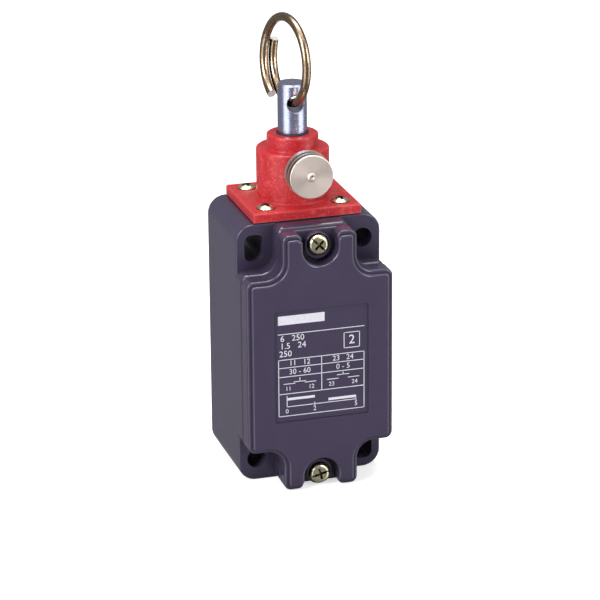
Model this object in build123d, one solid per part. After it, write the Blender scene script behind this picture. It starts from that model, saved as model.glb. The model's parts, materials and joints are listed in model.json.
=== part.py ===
from build123d import *
import os
from math import cos, radians, sin

# Rope pull switch with a latching head and a pull-to-reset knob.
# Row frame: +Z up along the pull rod, the cover faces -Y, and the origin is the
# centre of the fixing hole pattern on the back face. All sizes are in millimetres.

os.makedirs("parts", exist_ok=True)

# General clearances
SLIP = 0.1            # loose fit of a still piece in its seat
RUNNING = 0.05        # radial running clearance of a shaft
SEAT_GAP = 0.1        # gap between a moving contact and the fixed one
FREE_GAP = 0.3        # gap between moving bodies that do not guide each other
OVER = 1.0            # cutters reach this much past the material
TOUCH = 0.01          # tolerance for picking edges and corners by place

# Fixing pattern
HOLE_EDGE_X = 5.0     # hole axes in from the body's sides
HOLE_PITCH_Z = 60.0
HOLE_R = 2.65
SLOT_LENGTH = 7.3
SLOT_CORNER_R = 1.9

# Housing
BODY_W = 40.0
BODY_TOP = 36.5
BODY_BOTTOM = -36.2
EAR_DEPTH = 28.0      # from the back face to the face that the fixing bolts clamp
LIP_DEPTH = 5.0       # the housing between the ears stands this much further forward
BODY_CORNER_R = 4.8
BODY_EDGE_R = 0.5
WALL = 2.8
BACK_WALL = 3.0
CAVITY_CORNER_R = 2.0
LOBE_W = 19.8         # width of the housing between two pockets
SHELF_Z = 24.2        # height of the pocket shelves
POCKET_FLAT = 5.7     # straight part of a pocket's shelf
SHOULDER_R = 2.0
LOBE_CORNER_R = 1.8
TOP_EDGE_R = 1.6

# Cable entry, M20 x 1.5: the bore is the thread's minor diameter
ENTRY_R = 9.2
ENTRY_CHAMFER = 0.9

# Cover
GASKET_T = 0.7
GASKET_INSET = 0.5
COVER_OVERHANG = 0.15 # the cover stands out past the body at each side
COVER_LOBE_OVERHANG = 0.3
COVER_TOP_SETBACK = 0.5
COVER_BOTTOM_SETBACK = 0.3
TIER_1 = 4.9          # height of the outer step
TIER_2 = 1.0          # height of the plateau above it
TIER_INSET = 1.1
TIER_1_EDGE_R = 0.65
TIER_2_EDGE_R = 0.7
COVER_SKIN = 2.0
RELIEF_INSET = 1.0    # the hollow in the cover's back is this much smaller than the cavity
RELIEF_CORNER_R = 1.5
LABEL_W = 26.0
LABEL_H = 31.4
LABEL_DEPTH = 0.35
LABEL_CORNER_R = 0.6
SCREW_FROM_TOP = 3.6  # screw axes in from the cover's ends
SCREW_FROM_BOTTOM = 3.4
RECESS_R = 4.85       # U-shaped screw recess, open at the end of the lobe
RECESS_SHIFT = 0.3    # the recess is this much nearer the middle than its screw
RECESS_CORNER_R = 1.5
RECESS_FLOOR = 0.9    # material left under the recess
FLOOR_END_R = 0.6
BOSS_R = 3.6          # round screw boss inside the recess
BOSS_H = 2.1          # height of the boss above the recess floor
BOSS_SHIFT = 0.4
BOSS_EDGE_R = 0.2

# Cover screws, M3 pan head
M3_R = 1.5
M3_HEAD_R = 2.75
M3_HEAD_H = 2.2
M3_CORE_R = 1.25
COVER_SCREW_LENGTH = 9.0
COVER_SCREW_SINK = 0.9
SCREW_HEAD_GAP = 0.35 # clearance round a screw head in its counterbore
SCREW_HOLE_SPARE = 1.0
PAN_EDGE = 0.45       # rounding of a pan head as a part of its height
CROSS_LENGTH = 1.15   # cross recess as parts of the head's radius and height
CROSS_WIDTH = 0.24
CROSS_DEPTH = 0.55
CROSS_TURN = 45.0
COVER_SCREW_TURNS = (-45.0, 15.0)
DRIVER_SLOT_W = 0.4
DRIVER_SLOT_DEPTH = 0.5

# Head
AXIS_Y = -14.0        # pull rod axis behind the front
FOOT_W = 29.8
FOOT_D = 27.8
FOOT_T = 2.5
FOOT_CORNER_R = 0.5
FOOT_EDGE = 0.3
HEAD_GASKET_T = 0.3
COLLAR_R = 9.8
COLLAR_TOP = 52.8
NECK_R = 6.95
NECK_TOP = 56.6
COLLAR_EDGE_R = 0.5
NECK_EDGE_R = 0.45
BASE_FILLET = 0.2
CHAMBER_R = 7.5
CHAMBER_TOP = 45.0
TOP_BORE_R = 8.2      # hole in the housing's top for the spring
HEAD_SCREW_X = 10.25
HEAD_SCREW_Y = 9.4
HEAD_SCREW_R = 1.25
HEAD_SCREW_CORE_R = 1.05
HEAD_SCREW_HEAD_R = 2.5
HEAD_SCREW_RIM = 0.4   # straight side of the raised head
HEAD_SCREW_DOME = 0.95
HEAD_SCREW_SINK = 0.2
HEAD_SCREW_CONE = 1.2
HEAD_SCREW_LENGTH = 9.0
HEAD_CROSS_DEPTH = 0.3 # depth below the straight side
HEAD_CROSS_TURN = 12.0
HEAD_CROSS_WIDTH = 0.36

# Pull rod
ROD_R = 3.95
ROD_TOP = 70.4
ROD_SHOULDER = 25.0
ROD_CHAMFER = 0.45
CROSS_HOLE_R = 2.3
CROSS_HOLE_Z = 65.25
CROSS_HOLE_CHAMFER = 0.25
PULL_TRAVEL = 5.0
LATCH_GROOVE_R = 2.9
LATCH_GROOVE_W = 3.6
ROD_NECK_R = 1.8
FOOT_BUTTON_R = 3.2
FOOT_BUTTON_H = 2.0
ROD_FOOT_Z = 18.8     # underside of the button at the rod's foot
BUSH_R = 5.2
BUSH_LENGTH = 2.6
WIPER_R = 4.4
WIPER_LENGTH = 2.1
WIPER_PROUD = 0.5
WIPER_CHAMFER = 0.2
CIRCLIP_T = 0.8
CIRCLIP_R = 5.4
CIRCLIP_GROOVE_R = 3.2
CIRCLIP_Z = 26.2
CIRCLIP_MOUTH = 4.4
CUP_R = 6.8
CUP_T = 1.0
CUP_RIM_H = 0.8
CUP_RIM_T = 0.5
ROD_SPRING_WIRE = 1.0
ROD_SPRING_R = 5.5
ROD_SPRING_TURNS = 6.0

# Split ring: wire wound for a little over one turn
RING_WIRE = 2.4
RING_R = 11.5         # radius of the wire's centre line
RING_GAP = 0.3        # between neighbouring turns
RING_YAW = 9.4        # the ring's plane is turned this much about the vertical
RING_LEAN = -2.5
RING_START = -106.2   # wire angles, counted from the ring's lowest point
RING_END = 334.0
RING_X = -0.3
RING_BACK = 0.96      # the ring's centre lies this much behind the rod axis
RING_DROP = 0.45      # the wire's lowest point lies this much below the cross hole's centre

# Reset knob and latch
KNOB_Z = 49.2
KNOB_R = 6.1
KNOB_FRONT_R = 5.95
KNOB_RING_R = 6.0
KNOB_GROOVE_R = 5.2
KNOB_BACK_T = 1.7
KNOB_GROOVE_W = 0.95
KNOB_RING_T = 0.75
KNOB_FRONT_T = 0.7
KNOB_BEVEL = 0.25
KNOB_PIP_R = 1.2
KNOB_PIP_TOP_R = 0.85
KNOB_PIP_H = 0.3
KNOB_DIMPLE_R = 0.5
KNOB_DIMPLE_DEPTH = 0.45
KNOB_BORE_DEPTH = 3.0
KNOB_GAP = 0.4        # between the latch bush and the knob
RESET_TRAVEL = 2.5
LATCH_R = 1.5
LATCH_TIP_CHAMFER = 0.3
LATCH_COLLAR_R = 2.5
LATCH_COLLAR_T = 0.8
LATCH_GUIDE = 1.2     # wall that guides the latch pin's tip
LATCH_BORE_R = 3.0
LATCH_FLANGE_R = 3.6
LATCH_THREAD = 2.8
LATCH_END_WALL = 1.0
LATCH_SPRING_WIRE = 0.3
LATCH_SPRING_TURNS = 3.0

# Contact block
BLOCK_TOP = 15.7
BLOCK_BOTTOM = -12.7
BLOCK_SIDE_GAP = 0.4  # from the terminal ledges to the cavity's walls
BLOCK_DEPTH = 19.0
BLOCK_WALL = 1.6
LEDGE_REACH = 5.8     # the terminal ledges stand out this much on each side
LEDGE_DEPTH = 14.5
LID_T = 1.4
LID_CHAMFER = 0.4
BLOCK_FLOOR = 1.5
BLOCK_ROOF = 1.7
PLUNGER_W = 5.8
PLUNGER_D = 6.4
PLUNGER_END = 1.2     # material below the lower window
HOOK_W = 9.2
HOOK_WALL = 1.6
HOOK_CHAMFER = 1.0
HOOK_HEADROOM = 1.2   # from the hook's top to the rod's shoulder
HOOK_LAP = 0.5
BRIDGE_W = 4.0
BRIDGE_END_GAP = 1.2  # from the bridge's end to the chamber's wall
BRIDGE_T = 0.7
RIVET_R = 1.5
RIVET_H = 0.5
RIVET_INSET = 1.4     # rivet axis in from the bridge's end
BLADE_T = 0.8
BLADE_L = 7.0
BLADE_ROOT = 1.0      # the blade and its tab overlap this much outside the block's wall
BLADE_TIP_REACH = 1.7 # the blade reaches this much past its rivet
BLADE_SLOT_SPARE = 0.2
STRIP_CHAMFER = 0.6
TAB_W = 5.6
TAB_INSET = 0.2
NC_BLADE_Z = 3.0      # underside of the upper fixed blades
NO_BLADE_Z = 0.2      # underside of the lower fixed blades
BRIDGE_SPRING_L = 3.0
BRIDGE_SPRING_WIRE = 0.5
BRIDGE_SPRING_R = 1.35
BRIDGE_SPRING_TURNS = 3.0
NC_TERMINAL_Z = 7.0
NO_TERMINAL_Z = -4.0
TERMINAL_INSET = 2.8  # terminal screw axis in from the ledge's end
CLAMP_SIDE = 5.4
CLAMP_T = 0.9
TERMINAL_SCREW_LENGTH = 7.0
TERMINAL_HEAD_H = 1.7
BLOCK_SCREW_Z = (13.0, -10.1)
BLOCK_SCREW_R = 1.25
BLOCK_SCREW_CORE_R = 1.05
BLOCK_SCREW_HEAD_R = 2.3
BLOCK_SCREW_HEAD_H = 1.6
BLOCK_SCREW_BITE = 1.8
BLOCK_SCREW_SPARE = 0.2

# Places worked out from the sizes above
HOLE_PITCH_X = BODY_W - 2 * HOLE_EDGE_X
POCKET_R = (BODY_W - LOBE_W) / 2 - POCKET_FLAT
COVER_W = BODY_W + 2 * COVER_OVERHANG
COVER_LOBE_W = LOBE_W + 2 * COVER_LOBE_OVERHANG
COVER_TOP = BODY_TOP - COVER_TOP_SETBACK
COVER_BOTTOM = BODY_BOTTOM + COVER_BOTTOM_SETBACK
COVER_SCREW_TOP = COVER_TOP - SCREW_FROM_TOP
COVER_SCREW_BOTTOM = COVER_BOTTOM + SCREW_FROM_BOTTOM
SEAM_Y = -(EAR_DEPTH + LIP_DEPTH)
COVER_BACK_Y = SEAM_Y - GASKET_T
TIER_1_Y = COVER_BACK_Y - TIER_1
FRONT_Y = TIER_1_Y - TIER_2
CAVITY_HALF_W = BODY_W / 2 - WALL
CAVITY_HALF_H = SHELF_Z - WALL
BLOCK_HALF_W = CAVITY_HALF_W - BLOCK_SIDE_GAP - LEDGE_REACH
BRIDGE_HALF_L = BLOCK_HALF_W - BLOCK_WALL - BRIDGE_END_GAP
RIVET_X = BRIDGE_HALF_L - RIVET_INSET
BLADE_TIP_X = RIVET_X - BLADE_TIP_REACH
RING_PITCH = RING_WIRE + RING_GAP
FOOT_Z = BODY_TOP + HEAD_GASKET_T
FOOT_TOP = FOOT_Z + FOOT_T
RECESS_FLOOR_Y = COVER_BACK_Y - RECESS_FLOOR
BOSS_Y = RECESS_FLOOR_Y - BOSS_H
SCREW_SEAT_Y = BOSS_Y + COVER_SCREW_SINK
ROD_BORE_R = ROD_R + RUNNING
CUP_Z = CIRCLIP_Z + CIRCLIP_T
SPRING_Z = CUP_Z + CUP_T
COLLAR_FRONT_Y = AXIS_Y - COLLAR_R
BUSH_BORE_WALL_Y = AXIS_Y - BUSH_R
LATCH_STEP_Y = BUSH_BORE_WALL_Y - LATCH_GUIDE
LATCH_BUSH_BACK_Y = COLLAR_FRONT_Y + LATCH_THREAD
LATCH_COLLAR_Y = LATCH_STEP_Y - FREE_GAP
LATCH_SOLID = LATCH_SPRING_WIRE * (LATCH_SPRING_TURNS + 1)
LATCH_WALL_Y = LATCH_COLLAR_Y - LATCH_COLLAR_T - RESET_TRAVEL - LATCH_SOLID
LATCH_FRONT_Y = LATCH_WALL_Y - LATCH_END_WALL
KNOB_BACK_Y = LATCH_FRONT_Y - KNOB_GAP
PLUNGER_SLOT_W = PLUNGER_W + 2 * RUNNING
PLUNGER_SLOT_D = PLUNGER_D + 2 * RUNNING
NC_RIVET_TOP = NC_BLADE_Z + BLADE_T + RIVET_H
NC_BRIDGE_Z = NC_RIVET_TOP + SEAT_GAP + RIVET_H
NO_RIVET_BOTTOM = NO_BLADE_Z - RIVET_H
NO_BRIDGE_TOP = NO_RIVET_BOTTOM - SEAT_GAP - PULL_TRAVEL - RIVET_H
NO_BRIDGE_Z = NO_BRIDGE_TOP - BRIDGE_T
NC_WINDOW_TOP = NC_BRIDGE_Z + BRIDGE_T + BRIDGE_SPRING_L
NO_WINDOW_BOTTOM = NO_BRIDGE_Z - BRIDGE_SPRING_L
PLUNGER_BOTTOM = NO_WINDOW_BOTTOM - PLUNGER_END
CHAMBER_FLOOR = BLOCK_BOTTOM + BLOCK_FLOOR
CHAMBER_CEILING = BLOCK_TOP - BLOCK_ROOF
LEDGE_Y = -(BACK_WALL + LEDGE_DEPTH)
TERMINAL_X = BLOCK_HALF_W + LEDGE_REACH - TERMINAL_INSET
HOOK_FLOOR = ROD_FOOT_Z - FREE_GAP
HOOK_BOTTOM = HOOK_FLOOR - HOOK_WALL
HOOK_CATCH = ROD_FOOT_Z + FOOT_BUTTON_H + FREE_GAP
HOOK_TOP = ROD_SHOULDER - HOOK_HEADROOM


def front_plane(y):
    """Plane that faces the front at height y, with X to the right and Z up."""
    return Plane(origin=(0, y, 0), x_dir=(1, 0, 0), z_dir=(0, -1, 0))


def top_plane(z, y=AXIS_Y):
    """Horizontal plane at height z, centred on the pull rod axis."""
    return Plane(origin=(0, y, z), x_dir=(1, 0, 0), z_dir=(0, 0, 1))


def block(x0, x1, y0, y1, z0, z1):
    """Box between two corners."""
    size = Box(abs(x1 - x0), abs(y1 - y0), abs(z1 - z0))
    return Pos((x0 + x1) / 2, (y0 + y1) / 2, (z0 + z1) / 2) * size


def disc(radius, z0, z1, x=0.0, y=AXIS_Y):
    """Upright cylinder between two heights."""
    return extrude(Plane(origin=(x, y, z0)) * Circle(radius), amount=z1 - z0)


def peg(radius, y0, y1, x=0.0, z=0.0):
    """Cylinder along Y from y0 forward to y1."""
    plane = Plane(origin=(x, y0, z), x_dir=(1, 0, 0), z_dir=(0, -1, 0))
    return extrude(plane * Circle(radius), amount=y0 - y1)


def rounded(sketch, radius, keep):
    """Sketch with the corners that keep() accepts rounded."""
    corners = [v for v in sketch.vertices() if keep(v)]
    return fillet(corners, radius) if corners else sketch


def coil(radius, wire, turns, length):
    """Coil spring along +Z whose outer faces lie within 0 and length."""
    rise = length - wire
    path = Helix(pitch=rise / turns, height=rise, radius=radius, center=(0, 0, wire / 2))
    start = Plane(origin=path @ 0, z_dir=path % 0)
    return sweep(start * Circle(wire / 2), path=path)


def cross_outline(width, lobe_w, top, bottom, pocket_r, inset):
    """Front outline with a lobe at each end and a pocket at each corner."""
    half_w = width / 2 - inset
    shelf = SHELF_Z - inset
    lobe = lobe_w / 2 - inset
    z_mid = (top + bottom) / 2
    height = top - bottom - 2 * inset
    outline = Rectangle(2 * half_w, 2 * shelf) + Pos(0, z_mid) * Rectangle(2 * lobe, height)
    outline = rounded(outline, pocket_r + inset,
                      lambda v: abs(abs(v.X) - lobe) < TOUCH and abs(abs(v.Y) - shelf) < TOUCH)
    outline = rounded(outline, SHOULDER_R - inset, lambda v: abs(abs(v.X) - half_w) < TOUCH
                      and abs(abs(v.Y) - shelf) < TOUCH)
    return rounded(outline, LOBE_CORNER_R - inset, lambda v: abs(abs(v.X) - lobe) < TOUCH
                   and abs(v.Y - z_mid) > height / 2 - TOUCH)


def cover_outline(inset):
    """Outline of the cover, moved inwards by an inset."""
    pocket_r = POCKET_R + COVER_LOBE_OVERHANG
    return cross_outline(COVER_W, COVER_LOBE_W, COVER_TOP, COVER_BOTTOM, pocket_r, inset)


def screw_places():
    """Height of each cover screw and the direction of its lobe's end."""
    return ((COVER_SCREW_TOP, 1, COVER_TOP), (COVER_SCREW_BOTTOM, -1, COVER_BOTTOM))


def u_slot(radius, screw_z, way, reach):
    """U-shaped sketch round a cover screw, open towards the end of the lobe."""
    centre = screw_z - way * RECESS_SHIFT
    run = abs(reach - centre)
    return Pos(0, centre) * Circle(radius) + Pos(0, centre + way * run / 2) * Rectangle(2 * radius, run)


def hole_places():
    """Centres of the four fixing holes and whether each is a slot."""
    return [(sx * HOLE_PITCH_X / 2, sz * HOLE_PITCH_Z / 2, sx != sz) for sx in (-1, 1) for sz in (-1, 1)]


def fixing_holes(depth):
    """Cutters for two round holes and two upright slots."""
    cutters = []
    for x, z, slotted in hole_places():
        shape = Circle(HOLE_R)
        if slotted:
            shape = RectangleRounded(2 * HOLE_R, SLOT_LENGTH, SLOT_CORNER_R)
        cutters.append(extrude(front_plane(OVER) * Pos(x, z) * shape, amount=depth))
    return cutters


def make_housing():
    """Moulded body with ears, a cavity open to the front, a top bore and a cable entry."""
    height = BODY_TOP - BODY_BOTTOM
    z_mid = (BODY_TOP + BODY_BOTTOM) / 2
    ears = extrude(front_plane(0) * Pos(0, z_mid) * RectangleRounded(BODY_W, height, BODY_CORNER_R),
                   amount=EAR_DEPTH)
    ears = fillet(ears.faces().sort_by(Axis.Y)[0].edges(), BODY_EDGE_R)
    lip = extrude(front_plane(0) * cross_outline(BODY_W, LOBE_W, BODY_TOP, BODY_BOTTOM, POCKET_R, 0),
                  amount=EAR_DEPTH + LIP_DEPTH)
    top_edge = lip.faces().sort_by(Axis.Z)[-1].edges().filter_by(Axis.X).sort_by(Axis.Y)[0]
    lip = fillet(top_edge, TOP_EDGE_R)
    body = ears + lip
    cavity = extrude(front_plane(-BACK_WALL) * RectangleRounded(2 * CAVITY_HALF_W, 2 * CAVITY_HALF_H,
                                                               CAVITY_CORNER_R),
                     amount=EAR_DEPTH + LIP_DEPTH)
    body -= cavity
    body -= fixing_holes(EAR_DEPTH + LIP_DEPTH)
    body -= disc(TOP_BORE_R, CAVITY_HALF_H - OVER, BODY_TOP + OVER)
    body -= disc(ENTRY_R, BODY_BOTTOM - OVER, OVER - CAVITY_HALF_H)
    mouth = Pos(0, AXIS_Y, BODY_BOTTOM) * Cone(ENTRY_R + ENTRY_CHAMFER, ENTRY_R, ENTRY_CHAMFER,
                                               align=(Align.CENTER, Align.CENTER, Align.MIN))
    body -= mouth
    blind = SCREW_SEAT_Y + COVER_SCREW_LENGTH + SCREW_HOLE_SPARE
    for z, way, end in screw_places():
        body -= peg(M3_CORE_R, blind, SEAM_Y - OVER, z=z)
    for x, y in head_screw_places():
        body -= disc(HEAD_SCREW_CORE_R, FOOT_TOP - HEAD_SCREW_LENGTH - SCREW_HOLE_SPARE,
                     BODY_TOP + OVER, x, y)
    for x, z in block_screw_places():
        body -= peg(BLOCK_SCREW_CORE_R, -BACK_WALL + BLOCK_SCREW_BITE + BLOCK_SCREW_SPARE,
                    -BACK_WALL - OVER, x, z)
    return body


def make_cover():
    """Two-step cover with a label panel and a U-shaped recess at each screw."""
    def outline(inset):
        shape = cover_outline(inset)
        for z, way, end in screw_places():
            shape -= u_slot(RECESS_R, z, way, end + way)
            shape = rounded(shape, RECESS_CORNER_R, lambda v: abs(abs(v.X) - RECESS_R) < TOUCH
                            and abs(v.Y - (end - way * inset)) < TOUCH)
        return shape

    back = front_plane(COVER_BACK_Y)
    lower = extrude(back * outline(0), amount=TIER_1)
    lower = fillet(lower.faces().sort_by(Axis.Y)[0].edges(), TIER_1_EDGE_R)
    upper = extrude(back * outline(TIER_INSET), amount=TIER_1 + TIER_2)
    upper = fillet(upper.faces().sort_by(Axis.Y)[0].edges(), TIER_2_EDGE_R)
    cover = lower + upper
    full = cover_outline(0)
    for z, way, end in screw_places():
        floor = extrude(back * (full & u_slot(RECESS_R + OVER, z, way, end + way)), amount=RECESS_FLOOR)
        cover += fillet(floor.faces().sort_by(Axis.Y)[0].edges().filter_by(Axis.X), FLOOR_END_R)
        boss = extrude(back * (full & Pos(0, z - way * BOSS_SHIFT) * Circle(BOSS_R)),
                       amount=RECESS_FLOOR + BOSS_H)
        cover += fillet(boss.faces().sort_by(Axis.Y)[0].edges(), BOSS_EDGE_R)
        cover -= peg(M3_HEAD_R + SCREW_HEAD_GAP, SCREW_SEAT_Y, FRONT_Y - OVER, z=z)
        cover -= peg(M3_R + SLIP, COVER_BACK_Y + OVER, FRONT_Y, z=z)
    relief_w = 2 * (CAVITY_HALF_W - RELIEF_INSET)
    relief_h = 2 * (CAVITY_HALF_H - RELIEF_INSET)
    relief = extrude(front_plane(COVER_BACK_Y + OVER) * RectangleRounded(relief_w, relief_h, RELIEF_CORNER_R),
                     amount=OVER + TIER_1 + TIER_2 - COVER_SKIN)
    cover -= relief
    panel = front_plane(FRONT_Y + LABEL_DEPTH) * RectangleRounded(LABEL_W, LABEL_H, LABEL_CORNER_R)
    return cover - extrude(panel, amount=LABEL_DEPTH + OVER)


def make_cover_gasket():
    """Flat seal between the housing's rim and the cover."""
    outline = cover_outline(GASKET_INSET)
    window = RectangleRounded(2 * CAVITY_HALF_W, 2 * CAVITY_HALF_H, CAVITY_CORNER_R)
    gasket = extrude(front_plane(SEAM_Y) * (outline - window), amount=GASKET_T)
    for z, way, end in screw_places():
        gasket -= peg(M3_R + SLIP, SEAM_Y + OVER, COVER_BACK_Y - OVER, z=z)
    return gasket


def cross_recess(head_r, turn, width=CROSS_WIDTH):
    """Two crossed slots for a screw head of this radius."""
    arm = Rectangle(head_r * CROSS_LENGTH, head_r * width)
    return Rot(0, 0, turn) * arm + Rot(0, 0, turn + 90) * arm


def pan_screw(seat_y, length, shank_r, head_r, head_h, x, z, turn=CROSS_TURN):
    """Pan-head screw pointing back along +Y, with a slot and a cross recess."""
    head = peg(head_r, seat_y, seat_y - head_h, x, z)
    head = fillet(head.edges().sort_by(Axis.Y)[0], head_h * PAN_EDGE)
    shank = peg(shank_r, seat_y + length, seat_y, x, z)
    face = front_plane(seat_y - head_h)
    slot = Rot(0, 0, turn) * Rectangle(2 * (head_r + OVER), DRIVER_SLOT_W)
    head -= extrude(face * Pos(x, z) * slot, amount=-DRIVER_SLOT_DEPTH)
    cross = cross_recess(head_r, turn)
    return head + shank - extrude(face * Pos(x, z) * cross, amount=-head_h * CROSS_DEPTH)


def make_cover_screws():
    """Two pan-head screws that hold the cover."""
    screws = [pan_screw(SCREW_SEAT_Y, COVER_SCREW_LENGTH, M3_CORE_R, M3_HEAD_R, M3_HEAD_H, 0, place[0], turn)
              for place, turn in zip(screw_places(), COVER_SCREW_TURNS)]
    return Compound(children=screws)


def head_screw_places():
    """Axes of the four head screws."""
    return [(sx * HEAD_SCREW_X, AXIS_Y + sy * HEAD_SCREW_Y) for sx in (-1, 1) for sy in (-1, 1)]


def make_head():
    """Red head: foot plate and two collars, bored for the rod, its spring and the latch."""
    foot = extrude(top_plane(FOOT_Z) * RectangleRounded(FOOT_W, FOOT_D, FOOT_CORNER_R), amount=FOOT_T)
    foot = chamfer(foot.faces().sort_by(Axis.Z)[-1].edges(), FOOT_EDGE)
    profile = make_face(Polyline((0, FOOT_Z + OVER), (COLLAR_R, FOOT_Z + OVER), (COLLAR_R, COLLAR_TOP),
                                 (NECK_R, COLLAR_TOP), (NECK_R, NECK_TOP), (0, NECK_TOP), close=True))
    profile = rounded(profile, COLLAR_EDGE_R, lambda v: v.X > COLLAR_R - TOUCH and v.Y > FOOT_TOP)
    profile = rounded(profile, BASE_FILLET, lambda v: abs(v.X - NECK_R) < TOUCH and v.Y < NECK_TOP - OVER)
    profile = rounded(profile, NECK_EDGE_R, lambda v: abs(v.X - NECK_R) < TOUCH and v.Y > NECK_TOP - TOUCH)
    axis_plane = Plane(origin=(0, AXIS_Y, 0), x_dir=(1, 0, 0), z_dir=(0, -1, 0))
    collars = revolve(axis_plane * profile, Axis((0, AXIS_Y, 0), (0, 0, 1)))
    head = foot + collars
    root = [e for e in head.edges().filter_by(GeomType.CIRCLE)
            if abs(e.radius - COLLAR_R) < TOUCH and abs(e.center().Z - FOOT_TOP) < TOUCH]
    head = fillet(root, BASE_FILLET)
    bush_top = NECK_TOP + WIPER_PROUD - WIPER_LENGTH
    head -= disc(CHAMBER_R, FOOT_Z - OVER, CHAMBER_TOP)
    head -= disc(BUSH_R, CHAMBER_TOP - OVER, bush_top)
    head -= disc(WIPER_R, bush_top - OVER, NECK_TOP + OVER)
    head -= peg(LATCH_R + RUNNING, AXIS_Y, COLLAR_FRONT_Y - OVER, z=KNOB_Z)
    head -= peg(LATCH_BORE_R, LATCH_STEP_Y, COLLAR_FRONT_Y - OVER, z=KNOB_Z)
    for x, y in head_screw_places():
        head -= disc(HEAD_SCREW_R + SLIP, FOOT_Z - OVER, FOOT_TOP + OVER, x, y)
        sink = Cone(HEAD_SCREW_R + SLIP, HEAD_SCREW_HEAD_R + SLIP, HEAD_SCREW_CONE,
                    align=(Align.CENTER, Align.CENTER, Align.MAX))
        head -= Pos(x, y, FOOT_TOP - HEAD_SCREW_SINK) * sink
        head -= disc(HEAD_SCREW_HEAD_R + SLIP, FOOT_TOP - HEAD_SCREW_SINK, FOOT_TOP + OVER, x, y)
    return head


def make_head_gasket():
    """Thin seal between the housing's top and the head."""
    side = FOOT_W - 2 * GASKET_INSET
    depth = FOOT_D - 2 * GASKET_INSET
    gasket = extrude(top_plane(BODY_TOP) * RectangleRounded(side, depth, FOOT_CORNER_R),
                     amount=HEAD_GASKET_T)
    gasket -= disc(TOP_BORE_R, BODY_TOP - OVER, FOOT_Z + OVER)
    for x, y in head_screw_places():
        gasket -= disc(HEAD_SCREW_R + SLIP, BODY_TOP - OVER, FOOT_Z + OVER, x, y)
    return gasket


def make_head_screws():
    """Four raised countersunk screws that hold the head."""
    top = FOOT_TOP - HEAD_SCREW_SINK
    screws = []
    for x, y in head_screw_places():
        crown = (HEAD_SCREW_HEAD_R ** 2 + HEAD_SCREW_DOME ** 2) / (2 * HEAD_SCREW_DOME)
        ball = Pos(x, y, top + HEAD_SCREW_RIM + HEAD_SCREW_DOME - crown) * Sphere(crown)
        dome = ball & disc(HEAD_SCREW_HEAD_R, top, top + crown, x, y)
        cone = Pos(x, y, top) * Cone(HEAD_SCREW_R, HEAD_SCREW_HEAD_R, HEAD_SCREW_CONE - SLIP,
                                     align=(Align.CENTER, Align.CENTER, Align.MAX))
        shank = disc(HEAD_SCREW_CORE_R, FOOT_TOP - HEAD_SCREW_LENGTH, top - HEAD_SCREW_CONE / 2, x, y)
        cross = cross_recess(HEAD_SCREW_HEAD_R, HEAD_CROSS_TURN, HEAD_CROSS_WIDTH)
        slot = extrude(Plane(origin=(x, y, top - HEAD_CROSS_DEPTH)) * cross,
                       amount=HEAD_CROSS_DEPTH + HEAD_SCREW_RIM + HEAD_SCREW_DOME + OVER)
        screws.append(dome + cone + shank - slot)
    return Compound(children=screws)


def make_pull_rod():
    """Steel rod with a cross hole, a latch groove, a circlip groove and a foot button."""
    rod = disc(ROD_R, ROD_SHOULDER, ROD_TOP)
    rod = chamfer(rod.edges().sort_by(Axis.Z)[-1], ROD_CHAMFER)
    rod += disc(ROD_NECK_R, ROD_FOOT_Z, ROD_SHOULDER + OVER)
    rod += disc(FOOT_BUTTON_R, ROD_FOOT_Z, ROD_FOOT_Z + FOOT_BUTTON_H)
    latch_z = KNOB_Z - PULL_TRAVEL
    groove = disc(ROD_R + OVER, latch_z - LATCH_GROOVE_W / 2, latch_z + LATCH_GROOVE_W / 2)
    rod -= groove - disc(LATCH_GROOVE_R, latch_z - LATCH_GROOVE_W, latch_z + LATCH_GROOVE_W)
    ring = disc(ROD_R + OVER, CIRCLIP_Z - SLIP, CUP_Z + SLIP)
    rod -= ring - disc(CIRCLIP_GROOVE_R, CIRCLIP_Z - OVER, CUP_Z + OVER)
    rod -= peg(CROSS_HOLE_R, AXIS_Y + ROD_R + OVER, AXIS_Y - ROD_R - OVER, z=CROSS_HOLE_Z)
    mouths = [e for e in rod.edges() if abs(e.center().Z - CROSS_HOLE_Z) < CROSS_HOLE_R / 4
              and abs(e.bounding_box().size.Z - 2 * CROSS_HOLE_R) < CROSS_HOLE_R / 4]
    return chamfer(mouths, CROSS_HOLE_CHAMFER)


def make_rod_bush():
    """Guide bush for the rod inside the neck."""
    top = NECK_TOP + WIPER_PROUD - WIPER_LENGTH
    return disc(BUSH_R, top - BUSH_LENGTH, top) - disc(ROD_BORE_R, top - BUSH_LENGTH - OVER, top + OVER)


def make_rod_wiper():
    """Lip seal round the rod at the top of the neck."""
    top = NECK_TOP + WIPER_PROUD
    wiper = disc(WIPER_R, top - WIPER_LENGTH, top)
    wiper = chamfer(wiper.edges().sort_by(Axis.Z)[-1], WIPER_CHAMFER)
    return wiper - disc(ROD_BORE_R, top - WIPER_LENGTH - OVER, top + OVER)


def make_spring_cup():
    """Washer with a raised rim that carries the rod spring."""
    cup = disc(CUP_R, CUP_Z, SPRING_Z + CUP_RIM_H)
    cup -= disc(CUP_R - CUP_RIM_T, SPRING_Z, SPRING_Z + CUP_RIM_H + OVER)
    return cup - disc(ROD_R + SLIP, CUP_Z - OVER, SPRING_Z + OVER)


def make_rod_circlip():
    """Open retaining ring in the rod's lower groove."""
    clip = disc(CIRCLIP_R, CIRCLIP_Z, CUP_Z)
    clip -= disc(CIRCLIP_GROOVE_R + SLIP, CIRCLIP_Z - OVER, CUP_Z + OVER)
    return clip - block(-CIRCLIP_MOUTH / 2, CIRCLIP_MOUTH / 2, AXIS_Y - CIRCLIP_R - OVER, AXIS_Y,
                        CIRCLIP_Z - OVER, CUP_Z + OVER)


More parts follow.
